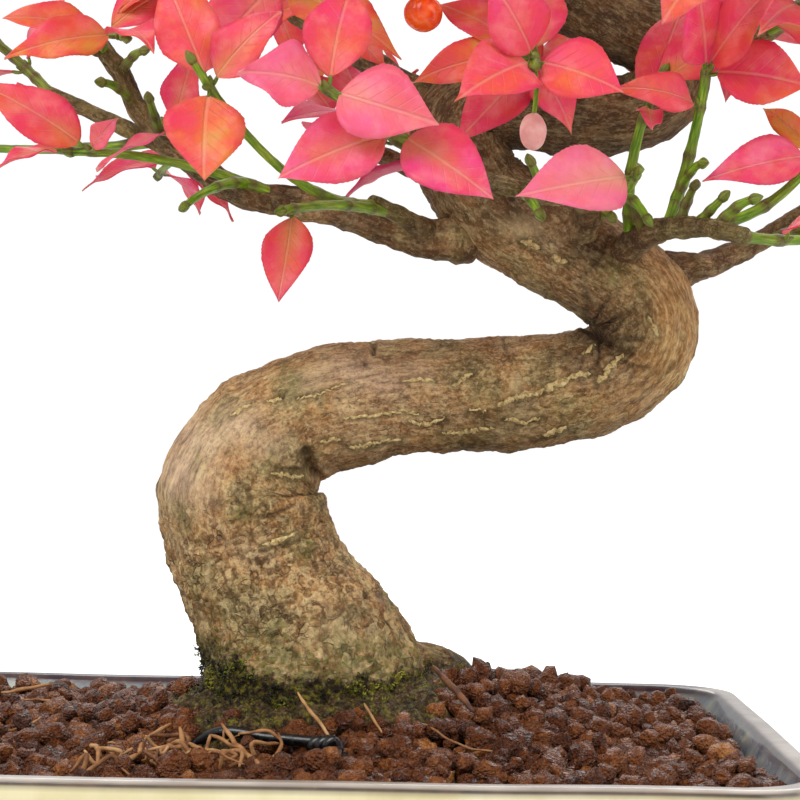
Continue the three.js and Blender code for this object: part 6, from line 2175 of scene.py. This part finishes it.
@dataclass
class AnchorWire:
    """The black wire that ties the roots down: down both drain holes, its ends twisted in front."""

    radius: float = 1.2
    twist_start: tuple[float, float] = (5.5, -41)
    twist_end: tuple[float, float] = (9.5, -46)
    turns: float = 1.25

    def way(self) -> Array:
        """The wire's route, as in the frame."""
        on_soil = [(x, y, float(soil_height(x, y)) + 2.2)
                   for x, y in (self.twist_start, (-4, -38.5), (-15, -34.5))]
        return np.array([
            *on_soil, (-27, -26, 44),
            (-38, -13, 32), (-46.5, -2, 22), (-48, 0, 15), (-48, 0, 9), (-45.5, 0, 4.4), (-40, 0, 3),
            (-20, 0, 3), (0, 0, 3), (20, 0, 3), (40, 0, 3), (45.5, 0, 4.4), (48, 0, 9), (48, 0, 15),
            (47, -2, 22), (41, -14, 32), (28, -34, 42), (16, -40, 48.5), (8.5, -40.8, 51.6),
        ])

    def strand(self, line: Array, radius: float) -> Skin:
        """A round rod along a line."""
        way = ways(line)
        across = unit(np.cross(way, np.array([0.3, 1.0, 0.2])))
        return tube(line[:, None] + spokes(across, -np.cross(across, way), turns(14)) * radius)

    def build(self, finishes: dict[str, bpy.types.Material]) -> None:
        """Makes the wire with its twist."""
        route = self.way()
        marks = np.column_stack([route, np.full(len(route), self.radius)])
        line, _ = line_places(marks, np.linspace(0, 1, 420))
        share = np.linspace(0, 1, 40)[:, None]
        start = np.array([*self.twist_start, float(soil_height(*self.twist_start)) + 1.2])
        end = np.array([*self.twist_end, float(soil_height(*self.twist_end)) + 3.2])
        level, rise = twig_frame(unit(end - start))
        turn = 2 * np.pi * self.turns * share
        skins = [self.strand(line, self.radius)]
        for phase in (0, np.pi):
            swirl = level * np.cos(turn + phase) + rise * np.sin(turn + phase)
            skins.append(self.strand(start * (1 - share) + end * share + swirl * self.radius * 1.02,
                                     self.radius * 0.98))
        make_piece("tie_wire", Skin.joined(skins), [finishes["wire"]], ["anchor_wire"])


@dataclass
class Stage:
    """The plain white floor, the soft studio light and the camera."""

    floor_half: float = 30000
    floor_glow: float = 0.5
    sky: float = 0.58
    seen_sky: float = 1.05
    lamps: tuple = (("key_light", (-560, -560, 840), 620, 7.6), ("fill_light", (720, -480, 420), 700, 2.8),
                    ("back_light", (150, 800, 800), 800, 4.5))

    def lamp(self, name: str, place: Sequence[float], size: float, power: float) -> None:
        """A square soft light at a place in millimetres, turned to the middle of the tree."""
        data = bpy.data.lights.new(name, "AREA")
        data.shape = "SQUARE"
        data.size = size * MM
        data.energy = power
        lamp = bpy.data.objects.new(name, data)
        where = np.array(place, float)
        aim = unit(np.array([15.0, 0.0, 120.0]) - where)
        side = unit(np.cross(aim, UP))
        axes = np.column_stack([side, np.cross(side, aim), -aim])
        lamp.rotation_euler = Matrix(axes.tolist()).to_euler()
        lamp.location = where * MM + TRAY_MIDDLE
        bpy.context.scene.collection.objects.link(lamp)

    def floor(self) -> None:
        """A wide white plane under the tray, which the camera sees a little brighter than it is lit."""
        mesh = bpy.data.meshes.new("floor")
        half = self.floor_half * MM
        corners = [(x * half, y * half, -0.0002) for x, y in ((-1, -1), (1, -1), (1, 1), (-1, 1))]
        mesh.from_pydata(corners, [], [(0, 1, 2, 3)])
        material = bpy.data.materials.new("floor_white")
        material.use_nodes = True
        graph = Graph(material.node_tree)
        seen = graph.add("ShaderNodeLightPath").outputs["Is Camera Ray"]
        graph.feed(material.node_tree.nodes["Principled BSDF"], {
            "Base Color": (0.93, 0.93, 0.93, 1), "Roughness": 0.85, "Specular IOR Level": 0.1,
            "Emission Color": (1, 1, 1, 1), "Emission Strength": graph.times(seen, self.floor_glow)})
        mesh.materials.append(material)
        floor = bpy.data.objects.new("floor", mesh)
        bpy.context.scene.collection.objects.link(floor)

    def light(self) -> None:
        """A white sky that the camera sees brighter than it lights, and three soft lamps."""
        world = bpy.data.worlds.new("studio")
        bpy.context.scene.world = world
        world.use_nodes = True
        graph = Graph(world.node_tree)
        seen = graph.add("ShaderNodeLightPath").outputs["Is Camera Ray"]
        graph.feed(world.node_tree.nodes["Background"], {
            "Color": (1, 1, 1, 1), "Strength": graph.span(seen, 0, 1, self.sky, self.seen_sky)})
        for lamp in self.lamps:
            self.lamp(*lamp)
        bpy.context.scene.view_settings.view_transform = "Standard"

    def camera(self) -> None:
        """The photograph's camera: level, looking along +Y, rolled by a degree."""
        data = bpy.data.cameras.new("camera")
        data.lens = LENS
        data.sensor_width = SENSOR
        data.clip_start = 0.02
        data.clip_end = 100
        camera = bpy.data.objects.new("camera", data)
        camera.location = EYE * MM + TRAY_MIDDLE
        camera.rotation_euler = (math.pi / 2, -ROLL, 0)
        bpy.context.scene.collection.objects.link(camera)
        bpy.context.scene.camera = camera

    def build(self) -> None:
        """Sets the stage."""
        self.floor()
        self.light()
        self.camera()


def main() -> None:
    """Builds the bonsai part by part and the stage, and logs how many shoots and leaves there are."""
    logging.basicConfig(level=logging.INFO, format="%(name)s: %(message)s")
    finishes = {name: finish.material() for name, finish in {
        "bark": BarkFinish(), "cork": CorkFinish(), "twig": TwigFinish(), "leaf": LeafFinish(),
        "seed": FruitFinish(), "capsule": FruitFinish("capsule", "b81d5e", "e8488a", 0.35),
        "drop": FruitFinish("young_fruit", "e39a94", "f0c0b6", 0.4),
        "grain": GrainFinish(), "bed": BedFinish(), "moss": MossFinish(), "fibre": FibreFinish(),
        "glaze": GlazeFinish(), "wire": PlasticFinish(),
        "mesh": PlasticFinish("mesh_plastic", "15181a", "3a3c3a", 0.5),
    }.items()}
    Stage().build()
    Tray().build(finishes)
    for name in ("drain_mesh_left", "drain_mesh_right"):
        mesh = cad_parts[name].data
        mesh.materials.clear()
        mesh.materials.append(finishes["mesh"])
    AnchorWire().build(finishes)
    grid, damp = Wood().build(finishes)
    Soil().build(grid, damp, finishes)
    shoots = Growth().grow()
    Foliage().build(shoots, finishes)
    LOG.info("%d shoots, %d leaves", len(shoots), sum(len(shoot.leaves) for shoot in shoots))


if __name__ == "__main__":
    main()
